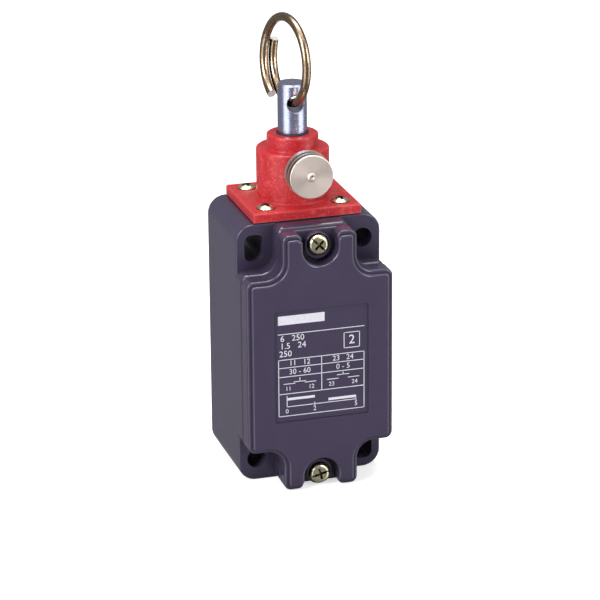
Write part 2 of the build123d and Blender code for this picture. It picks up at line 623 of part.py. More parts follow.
def make_rod_spring():
    """Return spring between the spring cup and the head's chamber roof."""
    spring = coil(ROD_SPRING_R, ROD_SPRING_WIRE, ROD_SPRING_TURNS, CHAMBER_TOP - SPRING_Z - 2 * SLIP)
    return Pos(0, AXIS_Y, SPRING_Z + SLIP) * spring


def make_split_ring():
    """Open ring of round wire, wound for a little over one turn through the cross hole."""
    yaw = radians(RING_YAW)
    lean = radians(RING_LEAN)
    side = Vector(cos(yaw) * cos(lean), sin(yaw) * cos(lean), sin(lean))
    front = Vector(sin(yaw), -cos(yaw), 0)
    up = front.cross(side)
    start = radians(RING_START)
    first = front * sin(start) - up * cos(start)
    lowest = CROSS_HOLE_Z - RING_DROP
    centre = Vector(RING_X, AXIS_Y + RING_BACK, lowest + RING_R)
    origin = centre - side * (RING_PITCH * RING_START / 360)
    height = RING_PITCH * (RING_END - RING_START) / 360
    path = Helix(pitch=RING_PITCH, height=height, radius=RING_R)
    section = Plane(origin=path @ 0, z_dir=path % 0) * Circle(RING_WIRE / 2)
    ring = sweep(section, path=path)
    frame = Plane(origin=origin, x_dir=first, z_dir=side * -1)
    return frame.location * ring


def make_reset_knob():
    """Turned knob with two grooves round its rim and a pip on its face."""
    y = KNOB_BACK_Y
    points = [(0, y)]
    for radius, width in ((KNOB_R, KNOB_BACK_T), (KNOB_GROOVE_R, KNOB_GROOVE_W), (KNOB_RING_R, KNOB_RING_T),
                          (KNOB_GROOVE_R, KNOB_GROOVE_W), (KNOB_FRONT_R, KNOB_FRONT_T)):
        points += [(radius, y), (radius, y - width)]
        y -= width
    points += [(KNOB_PIP_R, y), (KNOB_PIP_TOP_R, y - KNOB_PIP_H), (KNOB_DIMPLE_R, y - KNOB_PIP_H),
               (0, y - KNOB_PIP_H + KNOB_DIMPLE_DEPTH)]
    profile = make_face(Polyline(*points, close=True))
    profile = rounded(profile, KNOB_BEVEL, lambda v: v.X > KNOB_FRONT_R - TOUCH
                      and (abs(v.Y - KNOB_BACK_Y) < TOUCH or abs(v.Y - y) < TOUCH))
    plane = Plane(origin=(0, 0, KNOB_Z), x_dir=(1, 0, 0), z_dir=(0, 0, 1))
    knob = revolve(plane * profile, Axis((0, 0, KNOB_Z), (0, 1, 0)))
    return knob - peg(LATCH_R, KNOB_BACK_Y + OVER, KNOB_BACK_Y - KNOB_BORE_DEPTH, z=KNOB_Z)


def make_latch_pin():
    """Pin that the knob draws out of the rod's groove, with a collar for its spring."""
    pin = peg(LATCH_R, AXIS_Y - ROD_R - FREE_GAP, KNOB_BACK_Y - KNOB_BORE_DEPTH, z=KNOB_Z)
    pin = chamfer(pin.edges().sort_by(Axis.Y)[-1], LATCH_TIP_CHAMFER)
    return pin + peg(LATCH_COLLAR_R, LATCH_COLLAR_Y, LATCH_COLLAR_Y - LATCH_COLLAR_T, z=KNOB_Z)


def make_latch_bush():
    """Threaded bush that closes the latch bore and guides the pin."""
    bush = peg(LATCH_BORE_R, LATCH_BUSH_BACK_Y, COLLAR_FRONT_Y, z=KNOB_Z)
    flange = extrude(front_plane(COLLAR_FRONT_Y) * Pos(0, KNOB_Z) * RegularPolygon(LATCH_FLANGE_R, 6),
                     amount=COLLAR_FRONT_Y - LATCH_FRONT_Y)
    bush += flange
    bush -= peg(LATCH_COLLAR_R + SLIP, LATCH_BUSH_BACK_Y + OVER, LATCH_WALL_Y, z=KNOB_Z)
    return bush - peg(LATCH_R + RUNNING, LATCH_BUSH_BACK_Y, LATCH_FRONT_Y - OVER, z=KNOB_Z)


def make_latch_spring():
    """Spring that pushes the latch pin towards the rod."""
    start_y = LATCH_COLLAR_Y - LATCH_COLLAR_T - SLIP
    mean_r = (LATCH_R + LATCH_COLLAR_R) / 2
    spring = coil(mean_r, LATCH_SPRING_WIRE, LATCH_SPRING_TURNS, start_y - LATCH_WALL_Y - SLIP)
    return Pos(0, start_y, KNOB_Z) * Rot(90, 0, 0) * spring


def block_screw_places():
    """Axes of the two screws that hold the contact block."""
    return ((-TERMINAL_X, BLOCK_SCREW_Z[0]), (TERMINAL_X, BLOCK_SCREW_Z[1]))


def terminals():
    """Side, screw height, blade height and whether the pair is the upper one."""
    pairs = ((NC_TERMINAL_Z, NC_BLADE_Z, True), (NO_TERMINAL_Z, NO_BLADE_Z, False))
    return [(side, tz, bz, upper) for side in (-1, 1) for tz, bz, upper in pairs]


def make_contact_base():
    """Moulded tray with a contact chamber, a guide for the plunger and terminal ledges."""
    y0 = -BACK_WALL
    base = block(-BLOCK_HALF_W, BLOCK_HALF_W, y0, y0 - BLOCK_DEPTH, BLOCK_BOTTOM, BLOCK_TOP)
    reach = BLOCK_HALF_W + LEDGE_REACH
    base += block(-reach, reach, y0, LEDGE_Y, BLOCK_BOTTOM, BLOCK_TOP)
    inner = BLOCK_HALF_W - BLOCK_WALL
    base -= block(-inner, inner, y0 - BLOCK_WALL, y0 - BLOCK_DEPTH - OVER, CHAMBER_FLOOR, CHAMBER_CEILING)
    base -= block(-PLUNGER_SLOT_W / 2, PLUNGER_SLOT_W / 2, AXIS_Y + PLUNGER_SLOT_D / 2,
                  AXIS_Y - PLUNGER_SLOT_D / 2, CHAMBER_CEILING - OVER, BLOCK_TOP + OVER)
    for side, tz, bz, upper in terminals():
        base -= block(side * (inner - OVER), side * (BLOCK_HALF_W + BLADE_ROOT + BLADE_SLOT_SPARE),
                      LEDGE_Y - SLIP, LEDGE_Y + BLADE_L + SLIP, bz - SLIP, bz + BLADE_T + SLIP)
        base -= peg(M3_CORE_R, LEDGE_Y + TERMINAL_SCREW_LENGTH, LEDGE_Y - OVER, side * TERMINAL_X, tz)
    for x, z in block_screw_places():
        base -= peg(BLOCK_SCREW_R + SLIP, y0 + OVER, LEDGE_Y - OVER, x, z)
    return base


def make_contact_lid():
    """Plate that closes the contact chamber."""
    y0 = -(BACK_WALL + BLOCK_DEPTH)
    lid = block(-BLOCK_HALF_W, BLOCK_HALF_W, y0, y0 - LID_T, BLOCK_BOTTOM, BLOCK_TOP)
    return chamfer(lid.faces().sort_by(Axis.Y)[0].edges(), LID_CHAMFER)


def make_contact_plunger():
    """Slide with a window for each bridge and a hook for the rod's foot."""
    half_w = PLUNGER_W / 2
    half_d = PLUNGER_D / 2
    slide = block(-half_w, half_w, AXIS_Y - half_d, AXIS_Y + half_d, PLUNGER_BOTTOM, HOOK_BOTTOM + HOOK_LAP)
    half_win = BRIDGE_W / 2 + SLIP
    for low, high in ((NC_BRIDGE_Z, NC_WINDOW_TOP), (NO_WINDOW_BOTTOM, NO_BRIDGE_TOP)):
        slide -= block(-half_w - OVER, half_w + OVER, AXIS_Y - half_win, AXIS_Y + half_win, low, high)
    half_h = HOOK_W / 2
    hook = block(-half_h, half_h, AXIS_Y - half_h, AXIS_Y + half_h, HOOK_BOTTOM, HOOK_TOP)
    hook = chamfer(hook.edges().filter_by(Axis.Z), HOOK_CHAMFER)
    wide = FOOT_BUTTON_R + FREE_GAP
    narrow = ROD_NECK_R + FREE_GAP
    for radius, low, high in ((wide, HOOK_FLOOR, HOOK_CATCH), (narrow, HOOK_CATCH - HOOK_LAP, HOOK_TOP + OVER)):
        hook -= disc(radius, low, high)
        hook -= block(-radius, radius, AXIS_Y - half_h - OVER, AXIS_Y, low, high)
    return slide + hook


def make_bridge(z0, rivets_below):
    """Bridging strip with a contact rivet at each end."""
    strip = block(-BRIDGE_HALF_L, BRIDGE_HALF_L, AXIS_Y - BRIDGE_W / 2, AXIS_Y + BRIDGE_W / 2,
                  z0, z0 + BRIDGE_T)
    strip = chamfer(strip.edges().filter_by(Axis.Z), STRIP_CHAMFER)
    for x in (-RIVET_X, RIVET_X):
        if rivets_below:
            strip += disc(RIVET_R, z0 - RIVET_H, z0 + BRIDGE_T / 2, x)
        else:
            strip += disc(RIVET_R, z0 + BRIDGE_T / 2, z0 + BRIDGE_T + RIVET_H, x)
    return strip


def make_bridge_springs():
    """Contact springs, one above the upper bridge and one below the lower bridge."""
    length = BRIDGE_SPRING_L - 2 * SLIP
    spring = coil(BRIDGE_SPRING_R, BRIDGE_SPRING_WIRE, BRIDGE_SPRING_TURNS, length)
    upper = Pos(0, AXIS_Y, NC_BRIDGE_Z + BRIDGE_T + SLIP) * spring
    lower = Pos(0, AXIS_Y, NO_WINDOW_BOTTOM + SLIP) * spring
    return Compound(children=[upper, lower])


def make_fixed_contacts():
    """Four angled brass strips, each with a blade inside and a terminal tab outside."""
    strips = []
    for side, tz, bz, upper in terminals():
        blade = block(side * BLADE_TIP_X, side * (BLOCK_HALF_W + BLADE_ROOT), LEDGE_Y, LEDGE_Y + BLADE_L,
                      bz, bz + BLADE_T)
        edge = BLOCK_HALF_W + SLIP
        low = min(bz, tz - TAB_W / 2)
        high = max(bz + BLADE_T, tz + TAB_W / 2)
        tab = block(side * edge, side * (BLOCK_HALF_W + LEDGE_REACH - TAB_INSET), LEDGE_Y, LEDGE_Y - BLADE_T,
                    low, high)
        strip = blade + tab
        strip -= peg(M3_R + SLIP, LEDGE_Y + OVER, LEDGE_Y - BLADE_T - OVER, side * TERMINAL_X, tz)
        if upper:
            strip += disc(RIVET_R, bz + BLADE_T / 2, bz + BLADE_T + RIVET_H, side * RIVET_X)
        else:
            strip += disc(RIVET_R, bz - RIVET_H, bz + BLADE_T / 2, side * RIVET_X)
        strips.append(strip)
    return Compound(children=strips)


def make_terminal_clamps():
    """Square clamp plates under the terminal screws."""
    y0 = LEDGE_Y - BLADE_T
    clamps = []
    for side, tz, bz, upper in terminals():
        half = CLAMP_SIDE / 2
        x = side * TERMINAL_X
        plate = block(x - half, x + half, y0, y0 - CLAMP_T, tz - half, tz + half)
        plate = chamfer(plate.edges().filter_by(Axis.Y), STRIP_CHAMFER)
        clamps.append(plate - peg(M3_R + SLIP, y0 + OVER, y0 - CLAMP_T - OVER, x, tz))
    return Compound(children=clamps)


def make_terminal_screws():
    """Terminal screws, one on each clamp plate."""
    seat = LEDGE_Y - BLADE_T - CLAMP_T
    length = TERMINAL_SCREW_LENGTH + BLADE_T + CLAMP_T - SCREW_HOLE_SPARE
    screws = [pan_screw(seat, length, M3_CORE_R, CLAMP_SIDE / 2, TERMINAL_HEAD_H, side * TERMINAL_X, tz)
              for side, tz, bz, upper in terminals()]
    return Compound(children=screws)


def make_block_screws():
    """Two screws through the ledges into the back wall."""
    length = LEDGE_DEPTH + BLOCK_SCREW_BITE
    screws = [pan_screw(LEDGE_Y, length, BLOCK_SCREW_CORE_R, BLOCK_SCREW_HEAD_R, BLOCK_SCREW_HEAD_H, x, z)
              for x, z in block_screw_places()]
    return Compound(children=screws)


NODES = {
    "housing": make_housing,
    "cover": make_cover,
    "cover_gasket": make_cover_gasket,
    "cover_screws": make_cover_screws,
    "head": make_head,
    "head_gasket": make_head_gasket,
    "head_screws": make_head_screws,
    "rod_bush": make_rod_bush,
    "rod_wiper": make_rod_wiper,
    "pull_rod": make_pull_rod,
    "spring_cup": make_spring_cup,
    "rod_circlip": make_rod_circlip,
    "rod_spring": make_rod_spring,
    "split_ring": make_split_ring,
    "reset_knob": make_reset_knob,
    "latch_pin": make_latch_pin,
    "latch_bush": make_latch_bush,
    "latch_spring": make_latch_spring,
    "contact_base": make_contact_base,
    "contact_lid": make_contact_lid,
    "contact_plunger": make_contact_plunger,
    "nc_bridge": lambda: make_bridge(NC_BRIDGE_Z, True),
    "no_bridge": lambda: make_bridge(NO_BRIDGE_Z, False),
    "bridge_springs": make_bridge_springs,
    "fixed_contacts": make_fixed_contacts,
    "terminal_clamps": make_terminal_clamps,
    "terminal_screws": make_terminal_screws,
    "block_screws": make_block_screws,
}

for name, make in NODES.items():
    export_step(make(), f"parts/{name}.step")
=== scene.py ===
"""Looks of a rope pull switch: finishes, printed label, screws, ring, knob, lights and camera."""

import json
import math

import bmesh
import bpy
from bpy.props import FloatProperty, FloatVectorProperty, PointerProperty
from mathutils import Matrix, Vector


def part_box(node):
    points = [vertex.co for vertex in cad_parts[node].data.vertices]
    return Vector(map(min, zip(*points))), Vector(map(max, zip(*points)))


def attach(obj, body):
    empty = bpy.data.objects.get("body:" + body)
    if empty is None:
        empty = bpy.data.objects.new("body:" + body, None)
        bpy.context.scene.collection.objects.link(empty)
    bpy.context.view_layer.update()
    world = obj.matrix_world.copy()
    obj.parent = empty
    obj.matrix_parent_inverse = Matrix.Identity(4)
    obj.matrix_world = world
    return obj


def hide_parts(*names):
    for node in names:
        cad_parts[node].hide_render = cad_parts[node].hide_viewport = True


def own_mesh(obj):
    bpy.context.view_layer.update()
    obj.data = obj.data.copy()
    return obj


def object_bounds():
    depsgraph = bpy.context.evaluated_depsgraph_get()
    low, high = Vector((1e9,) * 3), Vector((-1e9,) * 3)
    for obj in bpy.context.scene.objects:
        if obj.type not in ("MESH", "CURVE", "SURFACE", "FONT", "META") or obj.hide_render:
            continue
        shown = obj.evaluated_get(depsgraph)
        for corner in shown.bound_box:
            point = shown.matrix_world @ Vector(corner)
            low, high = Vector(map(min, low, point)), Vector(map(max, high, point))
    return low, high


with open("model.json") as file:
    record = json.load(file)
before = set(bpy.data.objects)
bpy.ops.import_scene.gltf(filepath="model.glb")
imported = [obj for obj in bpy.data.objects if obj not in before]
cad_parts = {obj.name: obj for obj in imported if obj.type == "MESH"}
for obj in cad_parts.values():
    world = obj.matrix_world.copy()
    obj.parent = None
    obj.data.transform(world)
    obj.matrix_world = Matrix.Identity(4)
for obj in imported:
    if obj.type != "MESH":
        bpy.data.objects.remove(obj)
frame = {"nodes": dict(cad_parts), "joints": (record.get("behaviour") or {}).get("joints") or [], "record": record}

bl_info = {
    "name": "Rope Pull Switch Looks",
    "version": (1, 0, 0),
    "blender": (4, 5, 0),
    "location": "View3D > Sidebar > Pull Switch",
    "description": "Dresses the packed frame of a rope pull switch",
    "category": "Object",
}

MM = 0.001
HOUSING = "housing_body"
ROD = "rod_body"
KNOB = "knob_body"
RING = "ring_body"
CAD_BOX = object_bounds()
MERGE_DISTANCE = 0.001 * MM
FLAT_ANGLE = math.radians(0.5)      # neighbouring faces flatter than this become one
SHARP_ANGLE = math.radians(32)      # edges over this stay sharp on most pieces
WIRE_SHARP_ANGLE = math.radians(40)
KNOB_SHARP_ANGLE = math.radians(20)
AREA_WEIGHT = 90                    # how far large faces keep their own normal
RING_STATIONS = 220                 # cross sections along the ring's wire
RING_SIDES = 32                     # corners of one cross section
THREAD_STATIONS = 60                # cross sections in one turn of the thread
THREAD_SIDES = 10
CUT_END = "cut_end"                 # face attribute that marks the ring's two cut ends
CAP_CORNERS = 4                     # a face of the wound wire with more corners is a cut end
CUT_END_METAL = 0.3                 # metallic share of a cut end, which is rough
WEAR_HIGHLIGHT_GAIN = 1.25                  # worn plastic against the plain colour; on edges it is partly a painted highlight
SHADE_GAIN = 0.15                    # painted shade in corners and recesses of plastic against the plain colour
METAL_SHADE_GAIN = 0.06              # the same for plated metal
TURNED_SHADE_GAIN = 0.05             # and for turned metal
METAL_SHADE_REACH = 0.9 * MM              # how far from a corner painted shade darkens metal
# how far from a corner painted shade darkens plastic
PLASTIC_SHADE_REACH = 5.0 * MM
# edge mask: lighter colour on edges is wear and partly a painted highlight
EDGE_MASK_STRENGTH = 4.5
RUB_POLISH = 0.10                   # roughness that rubbing takes away
BLOTCH_SIZE = 2.2 * MM
SPECK_SIZE = 0.45 * MM
LINE_DETAIL = 3                     # curve steps in a printed figure
FIGURE_SHARE = 0.72                 # height of a figure as a part of its type size
PIXELS = 600
SENSOR_WIDTH = 36.0
VIEW_REACH = 20.0
LAMP_AIM = (0.0, -0.02, 0.02)
FLOOR_COLOUR = (0.8, 0.8, 0.8, 1.0)
WHITE = (1.0, 1.0, 1.0, 1.0)


def joint_point(name):
    """Place of a hinge in the row frame, in metres."""
    for joint in frame["joints"]:
        if joint["name"] == name:
            return Vector(joint["pos_m"])
    raise RuntimeError(f"the frame has no joint named {name}")


def colour_setting(name, description, default):
    """Setting that is a colour in linear light."""
    return FloatVectorProperty(name=name, description=description, subtype="COLOR", size=3, default=default)


def length_setting(name, description, default):
    """Setting that is a length."""
    return FloatProperty(name=name, description=description, unit="LENGTH", default=default)


def angle_setting(name, description, degrees):
    """Setting that is an angle."""
    return FloatProperty(name=name, description=description, subtype="ANGLE", default=math.radians(degrees))


def level_setting(name, description, default):
    """Setting that is a plain share or strength."""
    return FloatProperty(name=name, description=description, default=default)


class FinishColours(bpy.types.PropertyGroup):
    """Colours of the finishes."""

    housing: colour_setting("Housing", "Dark moulded plastic", (0.050, 0.039, 0.075))
    head: colour_setting("Head", "Red head", (0.42, 0.013, 0.022))
    # Worn head colour: worn flecks, and on edges partly a painted highlight
    head_worn: colour_setting("Worn head", "Head colour where it is rubbed", (0.74, 0.17, 0.13))
    steel: colour_setting("Rod steel", "Plated steel of the pull rod", (0.56, 0.59, 0.80))
    wire: colour_setting("Ring wire", "Yellow passivated wire", (0.50, 0.38, 0.27))
    zinc: colour_setting("Screws", "Pale yellow zinc plating", (0.86, 0.82, 0.60))
    knob: colour_setting("Knob", "Turned plated knob", (0.90, 0.79, 0.72))
    rubber: colour_setting("Seals", "Black rubber", (0.016, 0.015, 0.022))
    brass: colour_setting("Brass", "Contacts and bushes", (0.62, 0.42, 0.18))
    ink: colour_setting("Label ink", "White print on the cover", (0.62, 0.62, 0.68))


class LabelSizes(bpy.types.PropertyGroup):
    """Layout of the printed label on the cover's sunk panel."""

    line: length_setting("Line width", "Width of a printed line", 0.20 * MM)
    thickness: length_setting("Ink thickness", "Height of the ink on the panel", 0.02 * MM)
    depth: length_setting("Panel depth", "The panel lies this much below the cover's front", 0.35 * MM)


class RingSizes(bpy.types.PropertyGroup):
    """Shape and place of the wound ring."""

    radius: length_setting("Radius", "Radius of the wire's centre line", 11.5 * MM)
    wire: length_setting("Wire", "Diameter of the wire", 2.36 * MM)
    pitch: length_setting("Pitch", "Sideways advance in one turn", 2.7 * MM)
    start: angle_setting("Start", "Angle of the first end from the lowest point", -106.2)
    end: angle_setting("End", "Angle of the last end from the lowest point", 334.0)
    yaw: angle_setting("Yaw", "Turn of the ring's plane about the vertical", 9.4)
    lean: angle_setting("Lean", "Lean of the ring's plane", -2.5)
    side: length_setting("Side step", "Centre's step to the left of the rod axis", 0.3 * MM)
    back: length_setting("Back step", "Centre's step behind the rod axis", 0.96 * MM)
    drop: length_setting("Drop", "Wire's lowest point below the cross hole's axis", 0.45 * MM)


class ThreadSizes(bpy.types.PropertyGroup):
    """Thread of the cable entry."""

    radius: length_setting("Radius", "Radius of the ridge's centre line", 9.3 * MM)
    ridge: length_setting("Ridge", "Thickness of the rounded ridge", 0.6 * MM)
    pitch: length_setting("Pitch", "Rise in one turn", 1.5 * MM)
    length: length_setting("Length", "Length of the thread", 12.6 * MM)
    setback: length_setting("Setback", "From the mouth to the first turn", 1.3 * MM)


class StageSettings(bpy.types.PropertyGroup):
    """Camera, lamps, floor and surroundings."""

    azimuth: angle_setting("Azimuth", "Camera's turn to the object's left", 16.67)
    elevation: angle_setting("Elevation", "Camera's height angle", 19.76)
    roll: angle_setting("Roll", "Camera's roll", -0.45)
    distance: length_setting("Distance", "From the aim point to the camera", 773.1 * MM)
    aim_right: length_setting("Aim right", "Aim point's step along the picture's width", -2.44 * MM)
    aim_up: length_setting("Aim up", "Aim point's step along the picture's height", 13.04 * MM)
    anchor_y: length_setting("Anchor", "Depth of the face that the aim is counted from", -28.0 * MM)
    focal_pixels: level_setting("Focal length", "Focal length in pixels of the picture", 2878.2)
    lamp_level: level_setting("Lamp level", "Scales the power of all lamps", 1.0)
    sky_level: level_setting("Sky level", "Light of the surroundings", 0.40)
    dim_level: level_setting("Reflected level", "Surroundings as polished surfaces show them", 0.25)
    box_level: level_setting("Soft box level", "Soft boxes as polished surfaces show them", 1.7)
    floor_gap: length_setting("Floor gap", "From the object's foot down to the floor", 0.03 * MM)
    floor_reach: length_setting("Floor reach", "From the object to the floor's edge", 1.1)
    floor_glow: level_setting("Floor glow", "Light that the camera sees added to the floor", 0.60)


def add_node(tree, kind, values=None, **settings):
    """Adds a node, with its settings and the values of its unlinked inputs."""
    made = tree.nodes.new(kind)
    for key, value in settings.items():
        setattr(made, key, value)
    for key, value in (values or {}).items():
        made.inputs[key].default_value = value
    return made


def new_tree(name, kind, inputs, outputs):
    """Node group with named sockets, and its input and output nodes."""
    tree = bpy.data.node_groups.new(name, kind)
    for label, socket_kind, value in inputs:
        socket = tree.interface.new_socket(label, in_out="INPUT", socket_type=socket_kind)
        if value is not None:
            socket.default_value = value
    for label, socket_kind in outputs:
        tree.interface.new_socket(label, in_out="OUTPUT", socket_type=socket_kind)
    return tree, tree.nodes.new("NodeGroupInput"), tree.nodes.new("NodeGroupOutput")


def maths(tree, operation, first, second=None, third=None, clamp=False):
    """Math node whose inputs are sockets or plain numbers; returns its output."""
    made = add_node(tree, "ShaderNodeMath", operation=operation, use_clamp=clamp)
    for index, value in enumerate((first, second, third)):
        if isinstance(value, bpy.types.NodeSocket):
            tree.links.new(value, made.inputs[index])
        elif value is not None:
            made.inputs[index].default_value = value
    return made.outputs[0]


def mix_colour(tree, factor, first, second):
    """Colour mix whose inputs are sockets or plain values; returns its output."""
    made = add_node(tree, "ShaderNodeMix", data_type="RGBA")
    for index, value in ((0, factor), (6, first), (7, second)):
        if isinstance(value, bpy.types.NodeSocket):
            tree.links.new(value, made.inputs[index])
        else:
            made.inputs[index].default_value = value
    return made.outputs[2]


def mottle_group():
    """Group: two colours in soft patches, with a roughness that follows them."""
    tree, source, sink = new_tree("mottle", "ShaderNodeTree", [
        ("Vector", "NodeSocketVector", None),
        ("Colour", "NodeSocketColor", None),
        ("Second colour", "NodeSocketColor", None),
        ("Patch size", "NodeSocketFloat", 6.0 * MM),
        ("Contrast", "NodeSocketFloat", 1.0),
        ("Roughness", "NodeSocketFloat", 0.4),
        ("Roughness spread", "NodeSocketFloat", 0.1),
    ], [("Colour", "NodeSocketColor"), ("Roughness", "NodeSocketFloat")])
    noise = add_node(tree, "ShaderNodeTexNoise", {"Detail": 5.0, "Roughness": 0.55})
    tree.links.new(source.outputs["Vector"], noise.inputs["Vector"])
    tree.links.new(maths(tree, "DIVIDE", 1.0, source.outputs["Patch size"]), noise.inputs["Scale"])
    centred = maths(tree, "SUBTRACT", noise.outputs["Fac"], 0.5)
    spread = maths(tree, "MULTIPLY", centred, source.outputs["Contrast"])
    mask = maths(tree, "MULTIPLY_ADD", spread, 2.0, 0.5, clamp=True)
    tree.links.new(mix_colour(tree, mask, source.outputs["Colour"], source.outputs["Second colour"]),
                   sink.inputs["Colour"])
    swing = maths(tree, "MULTIPLY", maths(tree, "SUBTRACT", mask, 0.5), source.outputs["Roughness spread"])
    tree.links.new(maths(tree, "ADD", source.outputs["Roughness"], swing, clamp=True),
                   sink.inputs["Roughness"])
    return tree


def grain_group():
    """Group: fine height of a spark-eroded mould or a plated surface."""
    tree, source, sink = new_tree("grain", "ShaderNodeTree", [
        ("Vector", "NodeSocketVector", None),
        ("Grain size", "NodeSocketFloat", 0.3 * MM),
        ("Wave size", "NodeSocketFloat", 4.0 * MM),
        ("Wave share", "NodeSocketFloat", 0.5),
    ], [("Height", "NodeSocketFloat")])
    fine = add_node(tree, "ShaderNodeTexNoise", {"Detail": 3.0, "Roughness": 0.6})
    wave = add_node(tree, "ShaderNodeTexNoise", {"Detail": 1.0, "Roughness": 0.4})
    for made, size in ((fine, "Grain size"), (wave, "Wave size")):
        tree.links.new(source.outputs["Vector"], made.inputs["Vector"])
        tree.links.new(maths(tree, "DIVIDE", 1.0, source.outputs[size]), made.inputs["Scale"])
    share = maths(tree, "MULTIPLY", wave.outputs["Fac"], source.outputs["Wave share"])
    tree.links.new(maths(tree, "ADD", fine.outputs["Fac"], share), sink.inputs["Height"])
    return tree


def tool_marks_group():
    """Group: fine lines left by a lathe tool, along a position that the material gives."""
    tree, source, sink = new_tree("tool_marks", "ShaderNodeTree", [
        ("Position", "NodeSocketFloat", 0.0),
        ("Line width", "NodeSocketFloat", 0.15 * MM),
    ], [("Height", "NodeSocketFloat")])
    noise = add_node(tree, "ShaderNodeTexNoise", {"Scale": 1.0, "Detail": 4.0, "Roughness": 0.7},
                     noise_dimensions="1D")
    step = maths(tree, "DIVIDE", source.outputs["Position"], source.outputs["Line width"])
    tree.links.new(step, noise.inputs["W"])
    tree.links.new(noise.outputs["Fac"], sink.inputs["Height"])
    return tree


def edge_wear_highlight_group():
    """Group: mask of convex edges, where handling polishes a surface and the colour is lightened, partly as wear
    and partly as a painted highlight.
    """
    tree, source, sink = new_tree("edge_rub", "ShaderNodeTree", [
        ("Radius", "NodeSocketFloat", 0.3 * MM),
        ("Strength", "NodeSocketFloat", 1.0),
    ], [("Mask", "NodeSocketFloat")])
    bevel = add_node(tree, "ShaderNodeBevel", samples=4)
    tree.links.new(source.outputs["Radius"], bevel.inputs["Radius"])
    geometry = add_node(tree, "ShaderNodeNewGeometry")
    dot = add_node(tree, "ShaderNodeVectorMath", operation="DOT_PRODUCT")
    tree.links.new(bevel.outputs["Normal"], dot.inputs[0])
    tree.links.new(geometry.outputs["Normal"], dot.inputs[1])
    bend = maths(tree, "SUBTRACT", 1.0, dot.outputs["Value"])
    tree.links.new(maths(tree, "MULTIPLY", bend, source.outputs["Strength"], clamp=True),
                   sink.inputs["Mask"])
    return tree


def flecks_group():
    """Group: mask of small scattered flecks."""
    tree, source, sink = new_tree("flecks", "ShaderNodeTree", [
        ("Vector", "NodeSocketVector", None),
        ("Fleck size", "NodeSocketFloat", 0.4 * MM),
        ("Level", "NodeSocketFloat", 0.6),
        ("Softness", "NodeSocketFloat", 0.10),
    ], [("Mask", "NodeSocketFloat")])
    noise = add_node(tree, "ShaderNodeTexNoise", {"Detail": 2.0, "Roughness": 0.5})
    tree.links.new(source.outputs["Vector"], noise.inputs["Vector"])
    tree.links.new(maths(tree, "DIVIDE", 1.0, source.outputs["Fleck size"]), noise.inputs["Scale"])
    above = maths(tree, "SUBTRACT", noise.outputs["Fac"], source.outputs["Level"])
    tree.links.new(maths(tree, "DIVIDE", above, source.outputs["Softness"], clamp=True), sink.inputs["Mask"])
    return tree


def soft_box_group():
    """Group: mask of a soft-edged bright panel in the surroundings, found by direction."""
    tree, source, sink = new_tree("soft_box", "ShaderNodeTree", [
        ("Vector", "NodeSocketVector", None),
        ("Azimuth", "NodeSocketFloat", 0.0),
        ("Half width", "NodeSocketFloat", 0.4),
        ("Lowest", "NodeSocketFloat", -0.5),
        ("Highest", "NodeSocketFloat", 0.8),
        ("Softness", "NodeSocketFloat", 0.12),
    ], [("Mask", "NodeSocketFloat")])
    parts = add_node(tree, "ShaderNodeSeparateXYZ")
    tree.links.new(source.outputs["Vector"], parts.inputs[0])
    forward = maths(tree, "MULTIPLY", parts.outputs["Y"], -1.0)
    azimuth = maths(tree, "ARCTAN2", parts.outputs["X"], forward)
    turn = maths(tree, "WRAP", maths(tree, "SUBTRACT", azimuth, source.outputs["Azimuth"]), math.pi, -math.pi)
    rise = maths(tree, "ARCSINE", parts.outputs["Z"])
    gaps = (maths(tree, "SUBTRACT", source.outputs["Half width"], maths(tree, "ABSOLUTE", turn)),
            maths(tree, "SUBTRACT", rise, source.outputs["Lowest"]),
            maths(tree, "SUBTRACT", source.outputs["Highest"], rise))
    masks = [maths(tree, "DIVIDE", gap, source.outputs["Softness"], clamp=True) for gap in gaps]
    both = maths(tree, "MULTIPLY", masks[0], maths(tree, "MULTIPLY", masks[1], masks[2]))
    tree.links.new(both, sink.inputs["Mask"])
    return tree


def corner_shade_group():
    """Group: mask of corners, recesses and gaps between parts, for painted shade."""
    tree, source, sink = new_tree("crevice", "ShaderNodeTree", [
        ("Distance", "NodeSocketFloat", 0.6 * MM),
        ("Strength", "NodeSocketFloat", 1.0),
    ], [("Mask", "NodeSocketFloat")])
    # painted shade from ambient occlusion, also where other parts or the floor stand near
    open_sky = add_node(tree, "ShaderNodeAmbientOcclusion", samples=6, only_local=False)
    tree.links.new(source.outputs["Distance"], open_sky.inputs["Distance"])
    shut = maths(tree, "SUBTRACT", 1.0, open_sky.outputs["AO"])
    tree.links.new(maths(tree, "MULTIPLY", shut, source.outputs["Strength"], clamp=True), sink.inputs["Mask"])
    return tree


def group_named(name):
    """A node group of this file, made the first time that it is asked for."""
    makers = {"mottle": mottle_group, "grain": grain_group, "tool_marks": tool_marks_group,
              "edge_rub": edge_wear_highlight_group, "flecks": flecks_group, "soft_box": soft_box_group,
              "crevice": corner_shade_group, "wound_wire": wound_wire_group}
    return bpy.data.node_groups.get(name) or makers[name]()


def add_group(tree, name, values):
    """Places one of the shader groups in a material, with the values of its inputs."""
    made = tree.nodes.new("ShaderNodeGroup")
    made.node_tree = group_named(name)
    for key, value in values.items():
        made.inputs[key].default_value = value
    return made


def rgba(colour, factor=1.0):
    """Colour as four numbers, scaled in brightness."""
    return tuple(min(1.0, channel * factor) for channel in colour) + (1.0,)


def new_material(name, **constants):
    """Material with a Principled shader and its plain values; returns both and the node tree."""
    material = bpy.data.materials.new(name)
    material.use_nodes = True
    tree = material.node_tree
    shader = tree.nodes["Principled BSDF"]
    for key, value in constants.items():
        shader.inputs[key.replace("_", " ")].default_value = value
    return material, tree, shader


